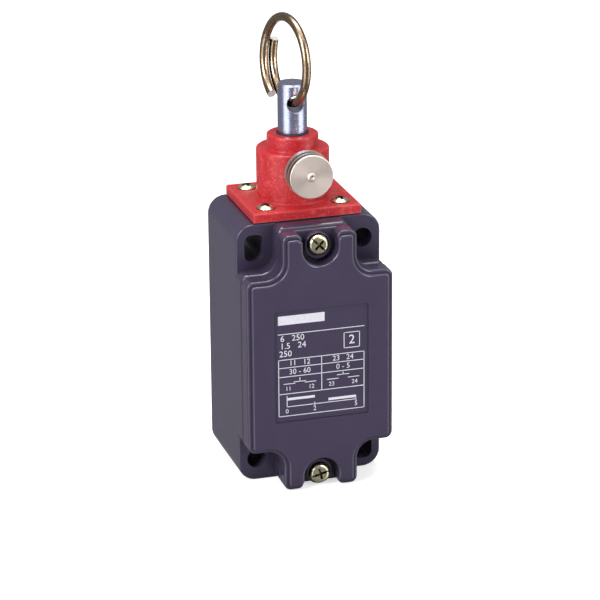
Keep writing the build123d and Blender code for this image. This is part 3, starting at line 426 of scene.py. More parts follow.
def object_position(tree, centre=(0.0, 0.0, 0.0)):
    """Object coordinates counted from a centre."""
    place = add_node(tree, "ShaderNodeTexCoord")
    mapping = add_node(tree, "ShaderNodeMapping", {"Location": [-value for value in centre]})
    tree.links.new(place.outputs["Object"], mapping.inputs["Vector"])
    return mapping.outputs["Vector"]


def add_bump(tree, shader, height, distance):
    """Feeds a height into the shader's normal."""
    bump = add_node(tree, "ShaderNodeBump", {"Strength": 1.0, "Distance": distance})
    tree.links.new(height, bump.inputs["Height"])
    tree.links.new(bump.outputs["Normal"], shader.inputs["Normal"])


def setting_colour(colour):
    """The colour setting of this name, or a colour as it is."""
    return getattr(bpy.context.scene.switch_colours, colour) if isinstance(colour, str) else colour


def box_centre(node):
    """Middle of a node's box."""
    low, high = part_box(node)
    return tuple((low + high) / 2)


def add_grain(tree, shader, position, grain, wave, wave_share, depth):
    """Fine grain and a slow wave on a shader's surface."""
    height = add_group(tree, "grain", {"Grain size": grain, "Wave size": wave, "Wave share": wave_share})
    tree.links.new(position, height.inputs["Vector"])
    add_bump(tree, shader, height.outputs["Height"], depth)


def paint_shade_in_corners(tree, shader, colour, dark, reach, strength):
    """Gives a shader its colour, with painted shade in corners and recesses."""
    corner = add_group(tree, "crevice", {"Distance": reach, "Strength": strength})
    tree.links.new(mix_colour(tree, corner.outputs["Mask"], colour, dark), shader.inputs["Base Color"])


def mottled(tree, shader, position, first, second, patch, roughness, spread, contrast=1.0):
    """Patchy roughness on a shader; returns the group's node, which has the colour too."""
    made = add_group(tree, "mottle", {
        "Colour": first, "Second colour": second, "Patch size": patch, "Contrast": contrast,
        "Roughness": roughness, "Roughness spread": spread})
    tree.links.new(position, made.inputs["Vector"])
    tree.links.new(made.outputs["Roughness"], shader.inputs["Roughness"])
    return made


def plastic(name, colour, patch, roughness, spread, grain, depth, second=0.86, worn=None, wear=0.6,
            fleck=0.66, dirt=0.3, rub_width=0.4 * MM, blotch=0.8, **constants):
    """Moulded plastic or paint: mottled colour, fine grain, flecks, blotches, edges lighter as wear and partly as
    a painted highlight, and painted shade in corners.
    """
    material, tree, shader = new_material(name, **constants)
    position = object_position(tree)
    worn = rgba(setting_colour(worn)) if worn else rgba(colour, WEAR_HIGHLIGHT_GAIN)
    made = mottled(tree, shader, position, rgba(colour), rgba(colour, second), patch, roughness, spread)
    # lighter edges: wear, and partly a painted highlight; the mask also lowers the roughness
    rub = add_group(tree, "edge_rub", {"Radius": rub_width, "Strength": EDGE_MASK_STRENGTH})
    blotches = add_group(tree, "flecks", {"Fleck size": BLOTCH_SIZE, "Level": blotch, "Softness": 0.2})
    specks = add_group(tree, "flecks", {"Fleck size": SPECK_SIZE, "Level": fleck})
    for spots in (blotches, specks):
        tree.links.new(position, spots.inputs["Vector"])
    marks = maths(tree, "MAXIMUM", blotches.outputs["Mask"], specks.outputs["Mask"])
    share = maths(tree, "MULTIPLY", maths(tree, "MAXIMUM", rub.outputs["Mask"], marks), wear)
    wear_and_highlight = mix_colour(tree, share, made.outputs["Colour"], worn)
    # painted shade in corners, recesses and between parts
    paint_shade_in_corners(tree, shader, wear_and_highlight, rgba(colour, SHADE_GAIN), PLASTIC_SHADE_REACH, dirt)
    smoother = maths(tree, "MULTIPLY_ADD", rub.outputs["Mask"], -RUB_POLISH, made.outputs["Roughness"],
                     clamp=True)
    tree.links.new(smoother, shader.inputs["Roughness"])
    add_grain(tree, shader, position, grain, wave=5.0 * MM, wave_share=1.5, depth=depth)
    return material


def plated(name, colour, second, patch, roughness, spread, grain, depth, dirt=1.3, **constants):
    """Plated metal: two tones in patches, a fine grain and painted shade in corners."""
    material, tree, shader = new_material(name, Metallic=1.0, **constants)
    position = object_position(tree)
    made = mottled(tree, shader, position, rgba(colour), rgba(second), patch, roughness, spread, contrast=1.6)
    # painted shade in corners and recesses, such as screw slots
    paint_shade_in_corners(tree, shader, made.outputs["Colour"], rgba(colour, METAL_SHADE_GAIN), METAL_SHADE_REACH, dirt)
    add_grain(tree, shader, position, grain, wave=1.2 * MM, wave_share=1.0, depth=depth)
    return material


def turned(name, colour, second, line, roughness, spread, depth, patch=3.0 * MM, dirt=2.2, round_node=None,
           **constants):
    """Turned metal: tool marks by radius round the Y axis of a node, or else by height along Z, and painted shade
    in grooves and corners.
    """
    material, tree, shader = new_material(name, Metallic=1.0, **constants)
    position = object_position(tree, box_centre(round_node) if round_node else (0.0, 0.0, 0.0))
    made = mottled(tree, shader, position, rgba(colour), rgba(second), patch, roughness, spread)
    # painted shade in grooves and corners
    paint_shade_in_corners(tree, shader, made.outputs["Colour"], rgba(colour, TURNED_SHADE_GAIN), METAL_SHADE_REACH, dirt)
    parts = add_node(tree, "ShaderNodeSeparateXYZ")
    tree.links.new(position, parts.inputs[0])
    where = parts.outputs["Z"]
    if round_node:
        squares = [maths(tree, "MULTIPLY", parts.outputs[axis], parts.outputs[axis]) for axis in "XZ"]
        where = maths(tree, "SQRT", maths(tree, "ADD", *squares))
        tangent = add_node(tree, "ShaderNodeTangent", direction_type="RADIAL", axis="Y")
        tree.links.new(tangent.outputs["Tangent"], shader.inputs["Tangent"])
    marks = add_group(tree, "tool_marks", {"Line width": line})
    tree.links.new(where, marks.inputs["Position"])
    add_bump(tree, shader, marks.outputs["Height"], depth)
    return material


def wound_wire(name, colour, second, cut, **values):
    """Passivated wire whose cut ends are bare metal."""
    material = plated(name, colour, second, **values)
    tree = material.node_tree
    shader = tree.nodes["Principled BSDF"]
    ends = add_node(tree, "ShaderNodeAttribute", attribute_name=CUT_END)
    wire = shader.inputs["Base Color"].links[0].from_socket
    tree.links.new(mix_colour(tree, ends.outputs["Fac"], wire, rgba(cut)), shader.inputs["Base Color"])
    tree.links.new(maths(tree, "MULTIPLY_ADD", ends.outputs["Fac"], CUT_END_METAL - 1.0, 1.0),
                   shader.inputs["Metallic"])
    return material


# Each finish: its maker, its colour or the name of its colour setting, and the maker's other values
# A finish's corner strength sets painted shade in corners, recesses and between parts.
FINISHES = {
    "housing_plastic": (plastic, "housing", {
        "patch": 9.0 * MM, "roughness": 0.17, "spread": 0.06, "grain": 0.25 * MM, "depth": 0.003 * MM,
        "fleck": 0.72, "wear": 0.5, "dirt": 0.6, "Specular_IOR_Level": 0.5}),
    "head_red": (plastic, "head", {
        "patch": 2.6 * MM, "roughness": 0.36, "spread": 0.14, "grain": 0.3 * MM, "depth": 0.010 * MM,
        "second": 1.16, "worn": "head_worn", "wear": 0.45, "fleck": 0.57, "blotch": 0.56, "dirt": 0.15,
        "rub_width": 0.7 * MM, "Specular_IOR_Level": 0.42}),
    "block_plastic": (plastic, (0.10, 0.10, 0.11), {
        "patch": 6.0 * MM, "roughness": 0.45, "spread": 0.1, "grain": 0.3 * MM, "depth": 0.004 * MM}),
    "plunger_plastic": (plastic, (0.66, 0.66, 0.62), {
        "patch": 6.0 * MM, "roughness": 0.4, "spread": 0.1, "grain": 0.3 * MM, "depth": 0.004 * MM}),
    "seal_rubber": (plastic, "rubber", {
        "patch": 3.0 * MM, "roughness": 0.62, "spread": 0.15, "grain": 0.2 * MM, "depth": 0.01 * MM}),
    "label_ink": (plastic, "ink", {
        "patch": 1.0 * MM, "roughness": 0.5, "spread": 0.1, "grain": 0.1 * MM, "depth": 0.001 * MM}),
    "zinc_steel": (plated, "zinc", {
        "second": (0.60, 0.53, 0.33), "patch": 0.9 * MM, "roughness": 0.26, "spread": 0.16,
        "grain": 0.15 * MM, "depth": 0.008 * MM, "dirt": 2.4}),
    "spring_steel": (plated, (0.42, 0.42, 0.44), {
        "second": (0.30, 0.30, 0.32), "patch": 1.0 * MM, "roughness": 0.3, "spread": 0.1,
        "grain": 0.1 * MM, "depth": 0.004 * MM}),
    "contact_brass": (plated, "brass", {
        "second": (0.50, 0.32, 0.13), "patch": 2.0 * MM, "roughness": 0.28, "spread": 0.12,
        "grain": 0.2 * MM, "depth": 0.004 * MM}),
    "rod_steel": (plated, "steel", {
        "second": (0.42, 0.44, 0.66), "patch": 0.5 * MM, "roughness": 0.26, "spread": 0.12,
        "grain": 0.22 * MM, "depth": 0.012 * MM}),
    "ring_wire": (wound_wire, "wire", {
        "second": (0.24, 0.155, 0.09), "cut": (0.86, 0.84, 0.80), "patch": 0.42 * MM, "roughness": 0.22,
        "spread": 0.14, "grain": 0.12 * MM, "depth": 0.006 * MM}),
    "bearing_brass": (turned, "brass", {
        "second": (0.50, 0.33, 0.14), "line": 0.12 * MM, "roughness": 0.3, "spread": 0.1,
        "depth": 0.004 * MM}),
    "knob_metal": (turned, "knob", {
        "second": (0.78, 0.68, 0.61), "line": 0.16 * MM, "roughness": 0.43, "spread": 0.06,
        "depth": 0.008 * MM, "round_node": "reset_knob", "Anisotropic": 0.5}),
}


def material_named(name):
    """One of the object's finishes, made the first time that it is asked for."""
    title = f"{name}_finish"
    found = bpy.data.materials.get(title)
    if found:
        return found
    maker, colour, values = FINISHES[name]
    return maker(title, setting_colour(colour), **values)


def link_object(name, data):
    """New object at the origin with this mesh, curve, camera or lamp."""
    made = bpy.data.objects.new(name, data)
    bpy.context.scene.collection.objects.link(made)
    return made


def merged_mesh(node):
    """Closed copy of a node's mesh, with flat areas as single faces."""
    source = frame["nodes"][node].data
    shape = bmesh.new()
    shape.from_mesh(source)
    bmesh.ops.remove_doubles(shape, verts=shape.verts, dist=MERGE_DISTANCE)
    bmesh.ops.dissolve_limit(shape, angle_limit=FLAT_ANGLE, verts=shape.verts, edges=shape.edges)
    points = [vertex.co[:] for vertex in shape.verts]
    shape.verts.index_update()
    faces = [[vertex.index for vertex in face.verts] for face in shape.faces]
    shape.free()
    mesh = bpy.data.meshes.new(node)
    mesh.from_pydata(points, [], faces)
    return mesh


def smooth_by_area(piece, angle):
    """Smooth shading in which large faces keep their own normal; edges over an angle stay sharp."""
    mesh = piece.data
    mesh.polygons.foreach_set("use_smooth", [True] * len(mesh.polygons))
    mesh.set_sharp_from_angle(angle=angle)
    weighted = piece.modifiers.new("weighted", "WEIGHTED_NORMAL")
    weighted.keep_sharp = True
    weighted.weight = AREA_WEIGHT
    apply_modifiers(piece)


def apply_modifiers(piece):
    """Turns a piece's evaluated shape into its plain mesh and removes the modifiers."""
    depsgraph = bpy.context.evaluated_depsgraph_get()
    mesh = bpy.data.meshes.new_from_object(piece.evaluated_get(depsgraph), preserve_all_data_layers=True,
                                           depsgraph=depsgraph)
    piece.modifiers.clear()
    piece.data = mesh


def finish_piece(piece, material, body, nodes=()):
    """Gives a piece its material, its body and the nodes that it stands for."""
    piece.data.materials.clear()
    piece.data.materials.append(material_named(material))
    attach(piece, body)
    if nodes:
        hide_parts(*nodes)


def dress_copy(node, finish, body, angle=SHARP_ANGLE):
    """Smooth merged copy that stands for a node, with the given finish."""
    piece = link_object(f"{node}_dressed", merged_mesh(node))
    smooth_by_area(piece, angle)
    finish_piece(piece, finish, body, [node])
    return piece


def paint_node(node, material):
    """Gives a node's own object a finish."""
    target = frame["nodes"][node]
    for holder in target.material_slots:
        holder.link = "OBJECT"
        holder.material = material_named(material)


class SWITCH_OT_housing(bpy.types.Operator):
    """Dresses the housing, its cover and the seals"""

    bl_idname = "pull_switch.housing"
    bl_label = "Housing and cover"

    def execute(self, context):
        dress_copy("housing", "housing_plastic", HOUSING)
        dress_copy("cover", "housing_plastic", HOUSING)
        dress_copy("cover_gasket", "seal_rubber", HOUSING)
        dress_copy("head_gasket", "seal_rubber", HOUSING)
        return {"FINISHED"}


class SWITCH_OT_head(bpy.types.Operator):
    """Dresses the red head and the rod's wiper"""

    bl_idname = "pull_switch.head"
    bl_label = "Head"

    def execute(self, context):
        dress_copy("head", "head_red", HOUSING)
        dress_copy("rod_wiper", "seal_rubber", HOUSING)
        return {"FINISHED"}


class SWITCH_OT_screws(bpy.types.Operator):
    """Dresses the screws of the cover and the head"""

    bl_idname = "pull_switch.screws"
    bl_label = "Screws"

    def execute(self, context):
        dress_copy("cover_screws", "zinc_steel", HOUSING)
        dress_copy("head_screws", "zinc_steel", HOUSING)
        return {"FINISHED"}


class SWITCH_OT_rod(bpy.types.Operator):
    """Dresses the pull rod"""

    bl_idname = "pull_switch.rod"
    bl_label = "Pull rod"

    def execute(self, context):
        dress_copy("pull_rod", "rod_steel", ROD)
        return {"FINISHED"}


def wound_wire_group():
    """Geometry group: round wire wound about Z from one angle to another, counted from -Y."""
    tree, source, sink = new_tree("wound_wire", "GeometryNodeTree", [
        ("Geometry", "NodeSocketGeometry", None),
        ("Radius", "NodeSocketFloat", 10.0 * MM),
        ("Wire", "NodeSocketFloat", 2.0 * MM),
        ("Pitch", "NodeSocketFloat", 2.0 * MM),
        ("Start", "NodeSocketFloat", 0.0),
        ("End", "NodeSocketFloat", 2 * math.pi),
        ("Stations", "NodeSocketInt", 160),
        ("Sides", "NodeSocketInt", 28),
        ("Material", "NodeSocketMaterial", None),
    ], [("Geometry", "NodeSocketGeometry")])
    line = add_node(tree, "GeometryNodeMeshLine")
    tree.links.new(source.outputs["Stations"], line.inputs["Count"])
    index = add_node(tree, "GeometryNodeInputIndex")
    last = maths(tree, "SUBTRACT", source.outputs["Stations"], 1.0)
    share = maths(tree, "DIVIDE", index.outputs[0], last)
    sweep = maths(tree, "SUBTRACT", source.outputs["End"], source.outputs["Start"])
    angle = maths(tree, "MULTIPLY_ADD", share, sweep, source.outputs["Start"])
    place = add_node(tree, "ShaderNodeCombineXYZ")
    radius = source.outputs["Radius"]
    tree.links.new(maths(tree, "MULTIPLY", radius, maths(tree, "SINE", angle)), place.inputs["X"])
    down = maths(tree, "MULTIPLY", maths(tree, "COSINE", angle), -1.0)
    tree.links.new(maths(tree, "MULTIPLY", radius, down), place.inputs["Y"])
    turns = maths(tree, "DIVIDE", angle, 2 * math.pi)
    tree.links.new(maths(tree, "MULTIPLY", turns, source.outputs["Pitch"]), place.inputs["Z"])
    moved = add_node(tree, "GeometryNodeSetPosition")
    tree.links.new(line.outputs["Mesh"], moved.inputs["Geometry"])
    tree.links.new(place.outputs["Vector"], moved.inputs["Position"])
    curve = add_node(tree, "GeometryNodeMeshToCurve")
    tree.links.new(moved.outputs["Geometry"], curve.inputs["Mesh"])
    section = add_node(tree, "GeometryNodeCurvePrimitiveCircle")
    tree.links.new(source.outputs["Sides"], section.inputs["Resolution"])
    tree.links.new(maths(tree, "DIVIDE", source.outputs["Wire"], 2.0), section.inputs["Radius"])
    tube = add_node(tree, "GeometryNodeCurveToMesh", {"Fill Caps": True})
    tree.links.new(curve.outputs["Curve"], tube.inputs["Curve"])
    tree.links.new(section.outputs["Curve"], tube.inputs["Profile Curve"])
    real = add_node(tree, "GeometryNodeRealizeInstances")
    tree.links.new(tube.outputs["Mesh"], real.inputs["Geometry"])
    coat = add_node(tree, "GeometryNodeSetMaterial")
    tree.links.new(real.outputs["Geometry"], coat.inputs["Geometry"])
    tree.links.new(source.outputs["Material"], coat.inputs["Material"])
    tree.links.new(coat.outputs["Geometry"], sink.inputs["Geometry"])
    return tree


def wind_wire(name, values):
    """New object whose mesh is what the wound wire group makes from these inputs."""
    piece = link_object(name, bpy.data.meshes.new(name))
    tree = group_named("wound_wire")
    modifier = piece.modifiers.new(tree.name, "NODES")
    modifier.node_group = tree
    sockets = {item.name: item.identifier for item in tree.interface.items_tree
               if item.item_type == "SOCKET" and item.in_out == "INPUT"}
    for key, value in values.items():
        modifier[sockets[key]] = value
    apply_modifiers(piece)
    return piece


class SWITCH_OT_thread(bpy.types.Operator):
    """Winds the thread of the cable entry"""

    bl_idname = "pull_switch.thread"
    bl_label = "Entry thread"

    def execute(self, context):
        sizes = context.scene.switch_thread
        turns = sizes.length / sizes.pitch
        thread = wind_wire("entry_thread", {
            "Radius": sizes.radius, "Wire": sizes.ridge, "Pitch": sizes.pitch, "Start": 0.0,
            "End": 2 * math.pi * turns, "Stations": int(turns * THREAD_STATIONS), "Sides": THREAD_SIDES,
            "Material": material_named("housing_plastic")})
        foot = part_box("housing")[0].z + sizes.setback
        thread.data.transform(Matrix.Translation((0.0, joint_point("ring_swing").y, foot)))
        smooth_by_area(thread, WIRE_SHARP_ANGLE)
        finish_piece(thread, "housing_plastic", HOUSING)
        return {"FINISHED"}


class SWITCH_OT_ring(bpy.types.Operator):
    """Winds the split ring through the rod's cross hole"""

    bl_idname = "pull_switch.ring"
    bl_label = "Split ring"

    def execute(self, context):
        sizes = context.scene.switch_ring
        ring = wind_wire("split_ring_dressed", {
            "Radius": sizes.radius, "Wire": sizes.wire, "Pitch": -sizes.pitch, "Start": sizes.start,
            "End": sizes.end, "Stations": RING_STATIONS, "Sides": RING_SIDES,
            "Material": material_named("ring_wire")})
        yaw, lean = sizes.yaw, sizes.lean
        side = Vector((math.cos(yaw) * math.cos(lean), math.sin(yaw) * math.cos(lean), math.sin(lean)))
        front = Vector((math.sin(yaw), -math.cos(yaw), 0.0))
        up = front.cross(side)
        centre = joint_point("ring_swing") + Vector((-sizes.side, sizes.back, sizes.radius - sizes.drop))
        turn = Matrix((front, up, side)).transposed().to_4x4()
        ring.data.transform(Matrix.Translation(centre) @ turn)
        is_cap = [float(len(face.vertices) > CAP_CORNERS) for face in ring.data.polygons]
        ring.data.attributes.new(CUT_END, "FLOAT", "FACE").data.foreach_set("value", is_cap)
        smooth_by_area(ring, WIRE_SHARP_ANGLE)
        finish_piece(ring, "ring_wire", RING, ["split_ring"])
        return {"FINISHED"}


class SWITCH_OT_knob(bpy.types.Operator):
    """Dresses the reset knob, its pin and its bush"""

    bl_idname = "pull_switch.knob"
    bl_label = "Reset knob"

    def execute(self, context):
        dress_copy("reset_knob", "knob_metal", KNOB, KNOB_SHARP_ANGLE)
        dress_copy("latch_pin", "rod_steel", KNOB)
        dress_copy("latch_bush", "bearing_brass", HOUSING)
        return {"FINISHED"}


class SWITCH_OT_springs(bpy.types.Operator):
    """Dresses the springs that shorten while their joints move"""

    bl_idname = "pull_switch.springs"
    bl_label = "Springs"

    def execute(self, context):
        for joint in frame["record"]["behaviour"]["joints"]:
            for spring in joint.get("deforming_nodes", []):
                axis_name = spring["mode"][-1]
                self.dress(spring["node"], joint, "xyz".index(axis_name), spring[f"fixed_end_{axis_name}_m"])
        return {"FINISHED"}

    @staticmethod
    def dress(node, joint, axis, fixed_end):
        """Smooth copy of a spring, with a mesh of its own."""
        piece = dress_copy(node, "spring_steel", HOUSING)
        low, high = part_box(node)
        direction = Vector((0.0, 0.0, 0.0))
        direction[axis] = 1.0
        anchor = Vector(low)
        anchor[axis] = fixed_end
        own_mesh(piece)


class SWITCH_OT_inner(bpy.types.Operator):
    """Finishes the pieces inside the housing and the head"""

    bl_idname = "pull_switch.inner"
    bl_label = "Inner pieces"

    def execute(self, context):
        for entry in frame["record"]["subparts"]:
            if not frame["nodes"][entry["node"]].hide_render:
                paint_node(entry["node"], entry["material_slot"])
        return {"FINISHED"}


# In millimetres from the origin: lines and filled fields as x0, z0, x1, z1; figures as text, height, x and z
LABEL_LINES = (
    (-11.85, 9.2, 11.85, 9.2), (-11.85, 2.0, 11.85, 2.0), (-11.85, -0.3, 11.85, -0.3),
    (-11.85, -2.85, 11.85, -2.85), (-11.85, -7.7, 11.85, -7.7), (-11.85, -14.0, 11.85, -14.0),
    (-11.85, -14.0, -11.85, 2.0), (11.85, -14.0, 11.85, 2.0), (0.05, -7.7, 0.05, 2.0),
    (-10.4, -4.9, -7.4, -4.9), (-4.6, -4.9, -1.6, -4.9), (-7.6, -4.5, -4.4, -4.5), (-6.0, -4.5, -6.0, -3.5),
    (1.6, -4.9, 4.6, -4.9), (7.4, -4.9, 10.4, -4.9), (4.4, -3.9, 7.6, -3.9), (6.0, -3.9, 6.0, -3.3),
    (-9.6, -11.4, 9.6, -11.4), (-9.6, -11.4, -9.6, -8.4), (-1.9, -11.9, -1.9, -10.9),
    (9.6, -11.9, 9.6, -10.9),
    (6.3, 3.5, 10.6, 3.5), (6.3, 7.8, 10.6, 7.8), (6.3, 3.5, 6.3, 7.8), (10.6, 3.5, 10.6, 7.8),
)
LABEL_FIELDS = (
    (-11.9, 11.8, 0.9, 14.3), (-9.6, -9.6, -1.9, -8.9), (1.9, -10.9, 9.6, -10.2),
)
LABEL_FIGURES = (
    ("6   250", 1.7, -8.0, 7.9), ("1.5   24", 1.7, -7.8, 5.8), ("250", 1.7, -9.9, 3.6),
    ("11   12", 1.5, -6.0, 0.85), ("23   24", 1.5, 6.0, 0.85),
    ("30 - 60", 1.5, -6.0, -1.6), ("0 - 5", 1.5, 6.0, -1.6),
    ("11", 1.2, -9.2, -6.3), ("12", 1.2, -2.8, -6.3), ("23", 1.2, 2.8, -6.3), ("24", 1.2, 9.2, -6.3),
    ("0", 1.3, -9.6, -12.7), ("2", 1.3, -1.9, -12.7), ("5", 1.3, 9.6, -12.7), ("2", 2.6, 8.45, 5.65),
)


def ink_block(shape, low, high, y, thickness):
    """Flat printed rectangle that stands on the panel."""
    points = [(x, y - depth, z) for depth in (0.0, thickness)
              for x, z in ((low[0], low[1]), (high[0], low[1]), (high[0], high[1]), (low[0], high[1]))]
    made = [shape.verts.new(point) for point in points]
    for face in ((3, 2, 1, 0), (4, 5, 6, 7), (0, 1, 5, 4), (1, 2, 6, 5), (2, 3, 7, 6), (3, 0, 4, 7)):
        shape.faces.new([made[index] for index in face])


def ink_figures(shape, text, height, x, z, y, thickness):
    """Printed figures round a middle point on the panel."""
    curve = bpy.data.curves.new("figures", "FONT")
    curve.body = text
    curve.size = height / FIGURE_SHARE
    curve.align_x = "CENTER"
    curve.align_y = "CENTER"
    curve.extrude = thickness / 2
    curve.resolution_u = LINE_DETAIL
    holder = link_object("figures", curve)
    depsgraph = bpy.context.evaluated_depsgraph_get()
    mesh = bpy.data.meshes.new_from_object(holder.evaluated_get(depsgraph), depsgraph=depsgraph)
    bpy.data.objects.remove(holder)
    mesh.transform(Matrix.Translation((x, y - thickness / 2, z)) @ Matrix.Rotation(math.pi / 2, 4, "X"))
    shape.from_mesh(mesh)


class SWITCH_OT_label(bpy.types.Operator):
    """Prints a plain table, contact signs and numbers on the cover's panel"""

    bl_idname = "pull_switch.label"
    bl_label = "Printed label"

    def execute(self, context):
        sizes = context.scene.switch_label
        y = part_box("cover")[0].y + sizes.depth
        half = sizes.line / 2
        shape = bmesh.new()
        for x0, z0, x1, z1 in LABEL_LINES:
            ink_block(shape, (x0 * MM - half, z0 * MM - half), (x1 * MM + half, z1 * MM + half), y,
                      sizes.thickness)
        for x0, z0, x1, z1 in LABEL_FIELDS:
            ink_block(shape, (x0 * MM, z0 * MM), (x1 * MM, z1 * MM), y, sizes.thickness)
        for text, height, x, z in LABEL_FIGURES:
            ink_figures(shape, text, height * MM, x * MM, z * MM, y, sizes.thickness)
        mesh = bpy.data.meshes.new("label_print")
        bmesh.ops.remove_doubles(shape, verts=shape.verts, dist=MERGE_DISTANCE)
        shape.to_mesh(mesh)
        shape.free()
        print_piece = link_object("label_print", mesh)
        finish_piece(print_piece, "label_ink", HOUSING)
        return {"FINISHED"}


def camera_axes(stage):
    """Right, up and forward directions of the camera."""
    azimuth, elevation, roll = stage.azimuth, stage.elevation, stage.roll
    forward = Vector((math.sin(azimuth) * math.cos(elevation), math.cos(azimuth) * math.cos(elevation),
                      -math.sin(elevation)))
    level = Vector((math.cos(azimuth), -math.sin(azimuth), 0.0))
    upright = level.cross(forward)
    right = level * math.cos(roll) + upright * math.sin(roll)
    up = upright * math.cos(roll) - level * math.sin(roll)
    return right, up, forward


def add_camera(context, stage):
    """Camera at the photograph's place and focal length."""
    right, up, forward = camera_axes(stage)
    data = bpy.data.cameras.new("camera")
    data.sensor_width = SENSOR_WIDTH
    data.lens = stage.focal_pixels * SENSOR_WIDTH / PIXELS
    data.clip_end = VIEW_REACH
    camera = link_object("camera", data)
    turn = Matrix((right, up, -forward)).transposed().to_4x4()
    place = right * stage.aim_right + up * stage.aim_up - forward * stage.distance
    place.y += stage.anchor_y
    camera.matrix_world = Matrix.Translation(place) @ turn
    context.scene.camera = camera


def add_lamp(name, place, size, power):
    """Soft box at a place, turned to the lamps' aim point."""
    data = bpy.data.lights.new(name, "AREA")
    data.shape = "RECTANGLE"
    data.size, data.size_y = size
    data.energy = power
    turn = (Vector(LAMP_AIM) - Vector(place)).to_track_quat("-Z", "Y").to_matrix().to_4x4()
    link_object(name, data).matrix_world = Matrix.Translation(place) @ turn


def level_by_ray(tree, camera_level, mirror_level, plain_level):
    """Brightness for camera rays, for glossy and transmission rays, and for all others."""
    path = add_node(tree, "ShaderNodeLightPath")
    mirror = maths(tree, "MAXIMUM", path.outputs["Is Glossy Ray"], path.outputs["Is Transmission Ray"])
    rest = maths(tree, "MULTIPLY", maths(tree, "SUBTRACT", 1.0, mirror), plain_level)
    unseen = maths(tree, "MULTIPLY_ADD", mirror, mirror_level, rest)
    hidden = maths(tree, "SUBTRACT", 1.0, path.outputs["Is Camera Ray"])
    shown = maths(tree, "MULTIPLY", path.outputs["Is Camera Ray"], camera_level)
    return maths(tree, "MULTIPLY_ADD", unseen, hidden, shown)


# Bright panels that polished surfaces show, in radians: azimuth from the front, and elevation
SOFT_BOXES = (
    {"Azimuth": -1.10, "Half width": 0.45, "Lowest": -0.75, "Highest": 0.95},
    {"Azimuth": 0.98, "Half width": 0.42, "Lowest": -0.75, "Highest": 0.85},
    {"Azimuth": math.pi, "Half width": 3.3, "Lowest": 0.88, "Highest": 1.6},
)
# Lamps: name, place and size in metres, power in watts
LAMPS = (
    ("left_box", (-0.78, -0.46, 0.50), (0.32, 0.6), 8.2),
    ("right_box", (0.52, -0.76, 0.36), (0.24, 0.5), 3.4),
    ("top_box", (0.0, 0.12, 0.95), (0.6, 0.3), 6.2),
)


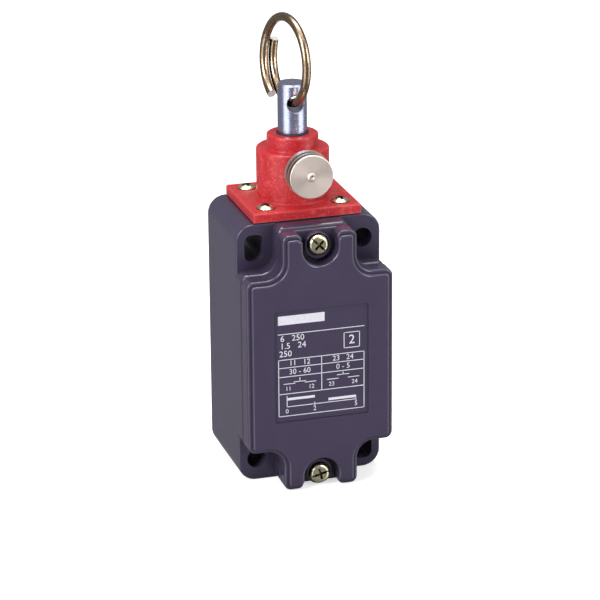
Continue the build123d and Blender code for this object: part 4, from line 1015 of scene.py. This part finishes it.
class SWITCH_OT_stage(bpy.types.Operator):
    """Sets the camera, the floor, the lamps and the white surroundings"""

    bl_idname = "pull_switch.stage"
    bl_label = "Stage"

    def execute(self, context):
        stage = context.scene.switch_stage
        context.scene.view_settings.view_transform = "Standard"
        add_camera(context, stage)
        self.add_surroundings(context, stage)
        self.add_floor(stage)
        for name, place, size, power in LAMPS:
            add_lamp(name, place, size, power * stage.lamp_level)
        return {"FINISHED"}

    @staticmethod
    def add_surroundings(context, stage):
        """World that is white to the camera and shows soft boxes to polished surfaces."""
        world = bpy.data.worlds.new("surroundings")
        context.scene.world = world
        world.use_nodes = True
        tree = world.node_tree
        tree.nodes.clear()
        place = add_node(tree, "ShaderNodeTexCoord")
        mirror = stage.dim_level
        for values in SOFT_BOXES:
            box = add_group(tree, "soft_box", values)
            tree.links.new(place.outputs["Generated"], box.inputs["Vector"])
            mirror = maths(tree, "MULTIPLY_ADD", box.outputs["Mask"], stage.box_level, mirror)
        light = add_node(tree, "ShaderNodeBackground", {"Color": WHITE})
        tree.links.new(level_by_ray(tree, 1.0, mirror, stage.sky_level), light.inputs["Strength"])
        output = add_node(tree, "ShaderNodeOutputWorld")
        tree.links.new(light.outputs[0], output.inputs["Surface"])

    @staticmethod
    def add_floor(stage):
        """Pale floor that keeps the object's shadow, and that polished surfaces look through."""
        floor_z = CAD_BOX[0][2] - stage.floor_gap
        reach = stage.floor_reach
        points = [(x * reach, y * reach, floor_z) for x, y in ((-1, -1), (1, -1), (1, 1), (-1, 1))]
        mesh = bpy.data.meshes.new("floor")
        mesh.from_pydata(points, [], [range(len(points))])
        floor = link_object("floor", mesh)
        material = bpy.data.materials.new("floor_white")
        material.use_nodes = True
        tree = material.node_tree
        tree.nodes.clear()
        diffuse = add_node(tree, "ShaderNodeBsdfDiffuse", {"Color": FLOOR_COLOUR})
        glow = add_node(tree, "ShaderNodeEmission", {"Color": WHITE})
        path = add_node(tree, "ShaderNodeLightPath")
        tree.links.new(maths(tree, "MULTIPLY", path.outputs["Is Camera Ray"], stage.floor_glow),
                       glow.inputs["Strength"])
        lit = add_node(tree, "ShaderNodeAddShader")
        tree.links.new(diffuse.outputs[0], lit.inputs[0])
        tree.links.new(glow.outputs[0], lit.inputs[1])
        clear = add_node(tree, "ShaderNodeBsdfTransparent")
        both = add_node(tree, "ShaderNodeMixShader")
        mirror = maths(tree, "MAXIMUM", path.outputs["Is Glossy Ray"], path.outputs["Is Transmission Ray"])
        side = add_node(tree, "ShaderNodeNewGeometry")
        tree.links.new(maths(tree, "MAXIMUM", mirror, side.outputs["Backfacing"]), both.inputs[0])
        tree.links.new(lit.outputs[0], both.inputs[1])
        tree.links.new(clear.outputs[0], both.inputs[2])
        output = add_node(tree, "ShaderNodeOutputMaterial")
        tree.links.new(both.outputs[0], output.inputs["Surface"])
        mesh.materials.append(material)


class SWITCH_PT_panel(bpy.types.Panel):
    """Lists the steps that dress the switch"""

    bl_idname = "SWITCH_PT_panel"
    bl_label = "Pull Switch"
    bl_space_type = "VIEW_3D"
    bl_region_type = "UI"
    bl_category = "Pull Switch"

    def draw(self, context):
        for step in STEPS:
            self.layout.operator(step.bl_idname)


STEPS = (SWITCH_OT_stage, SWITCH_OT_housing, SWITCH_OT_label, SWITCH_OT_head, SWITCH_OT_screws,
         SWITCH_OT_thread, SWITCH_OT_rod, SWITCH_OT_ring, SWITCH_OT_knob, SWITCH_OT_springs,
         SWITCH_OT_inner)
SETTINGS = {"switch_colours": FinishColours, "switch_label": LabelSizes, "switch_ring": RingSizes,
            "switch_thread": ThreadSizes, "switch_stage": StageSettings}


def register():
    """Registers the settings, the steps and the panel."""
    for name, group in SETTINGS.items():
        bpy.utils.register_class(group)
        setattr(bpy.types.Scene, name, PointerProperty(type=group))
    for item in STEPS + (SWITCH_PT_panel,):
        bpy.utils.register_class(item)


def unregister():
    """Removes what register added."""
    for item in (SWITCH_PT_panel,) + STEPS[::-1]:
        bpy.utils.unregister_class(item)
    for name, group in SETTINGS.items():
        delattr(bpy.types.Scene, name)
        bpy.utils.unregister_class(group)


def main():
    """Dresses the frame, step by step."""
    register()
    for step in STEPS:
        getattr(bpy.ops.pull_switch, step.bl_idname.split(".")[1])()


if __name__ == "__main__":
    main()
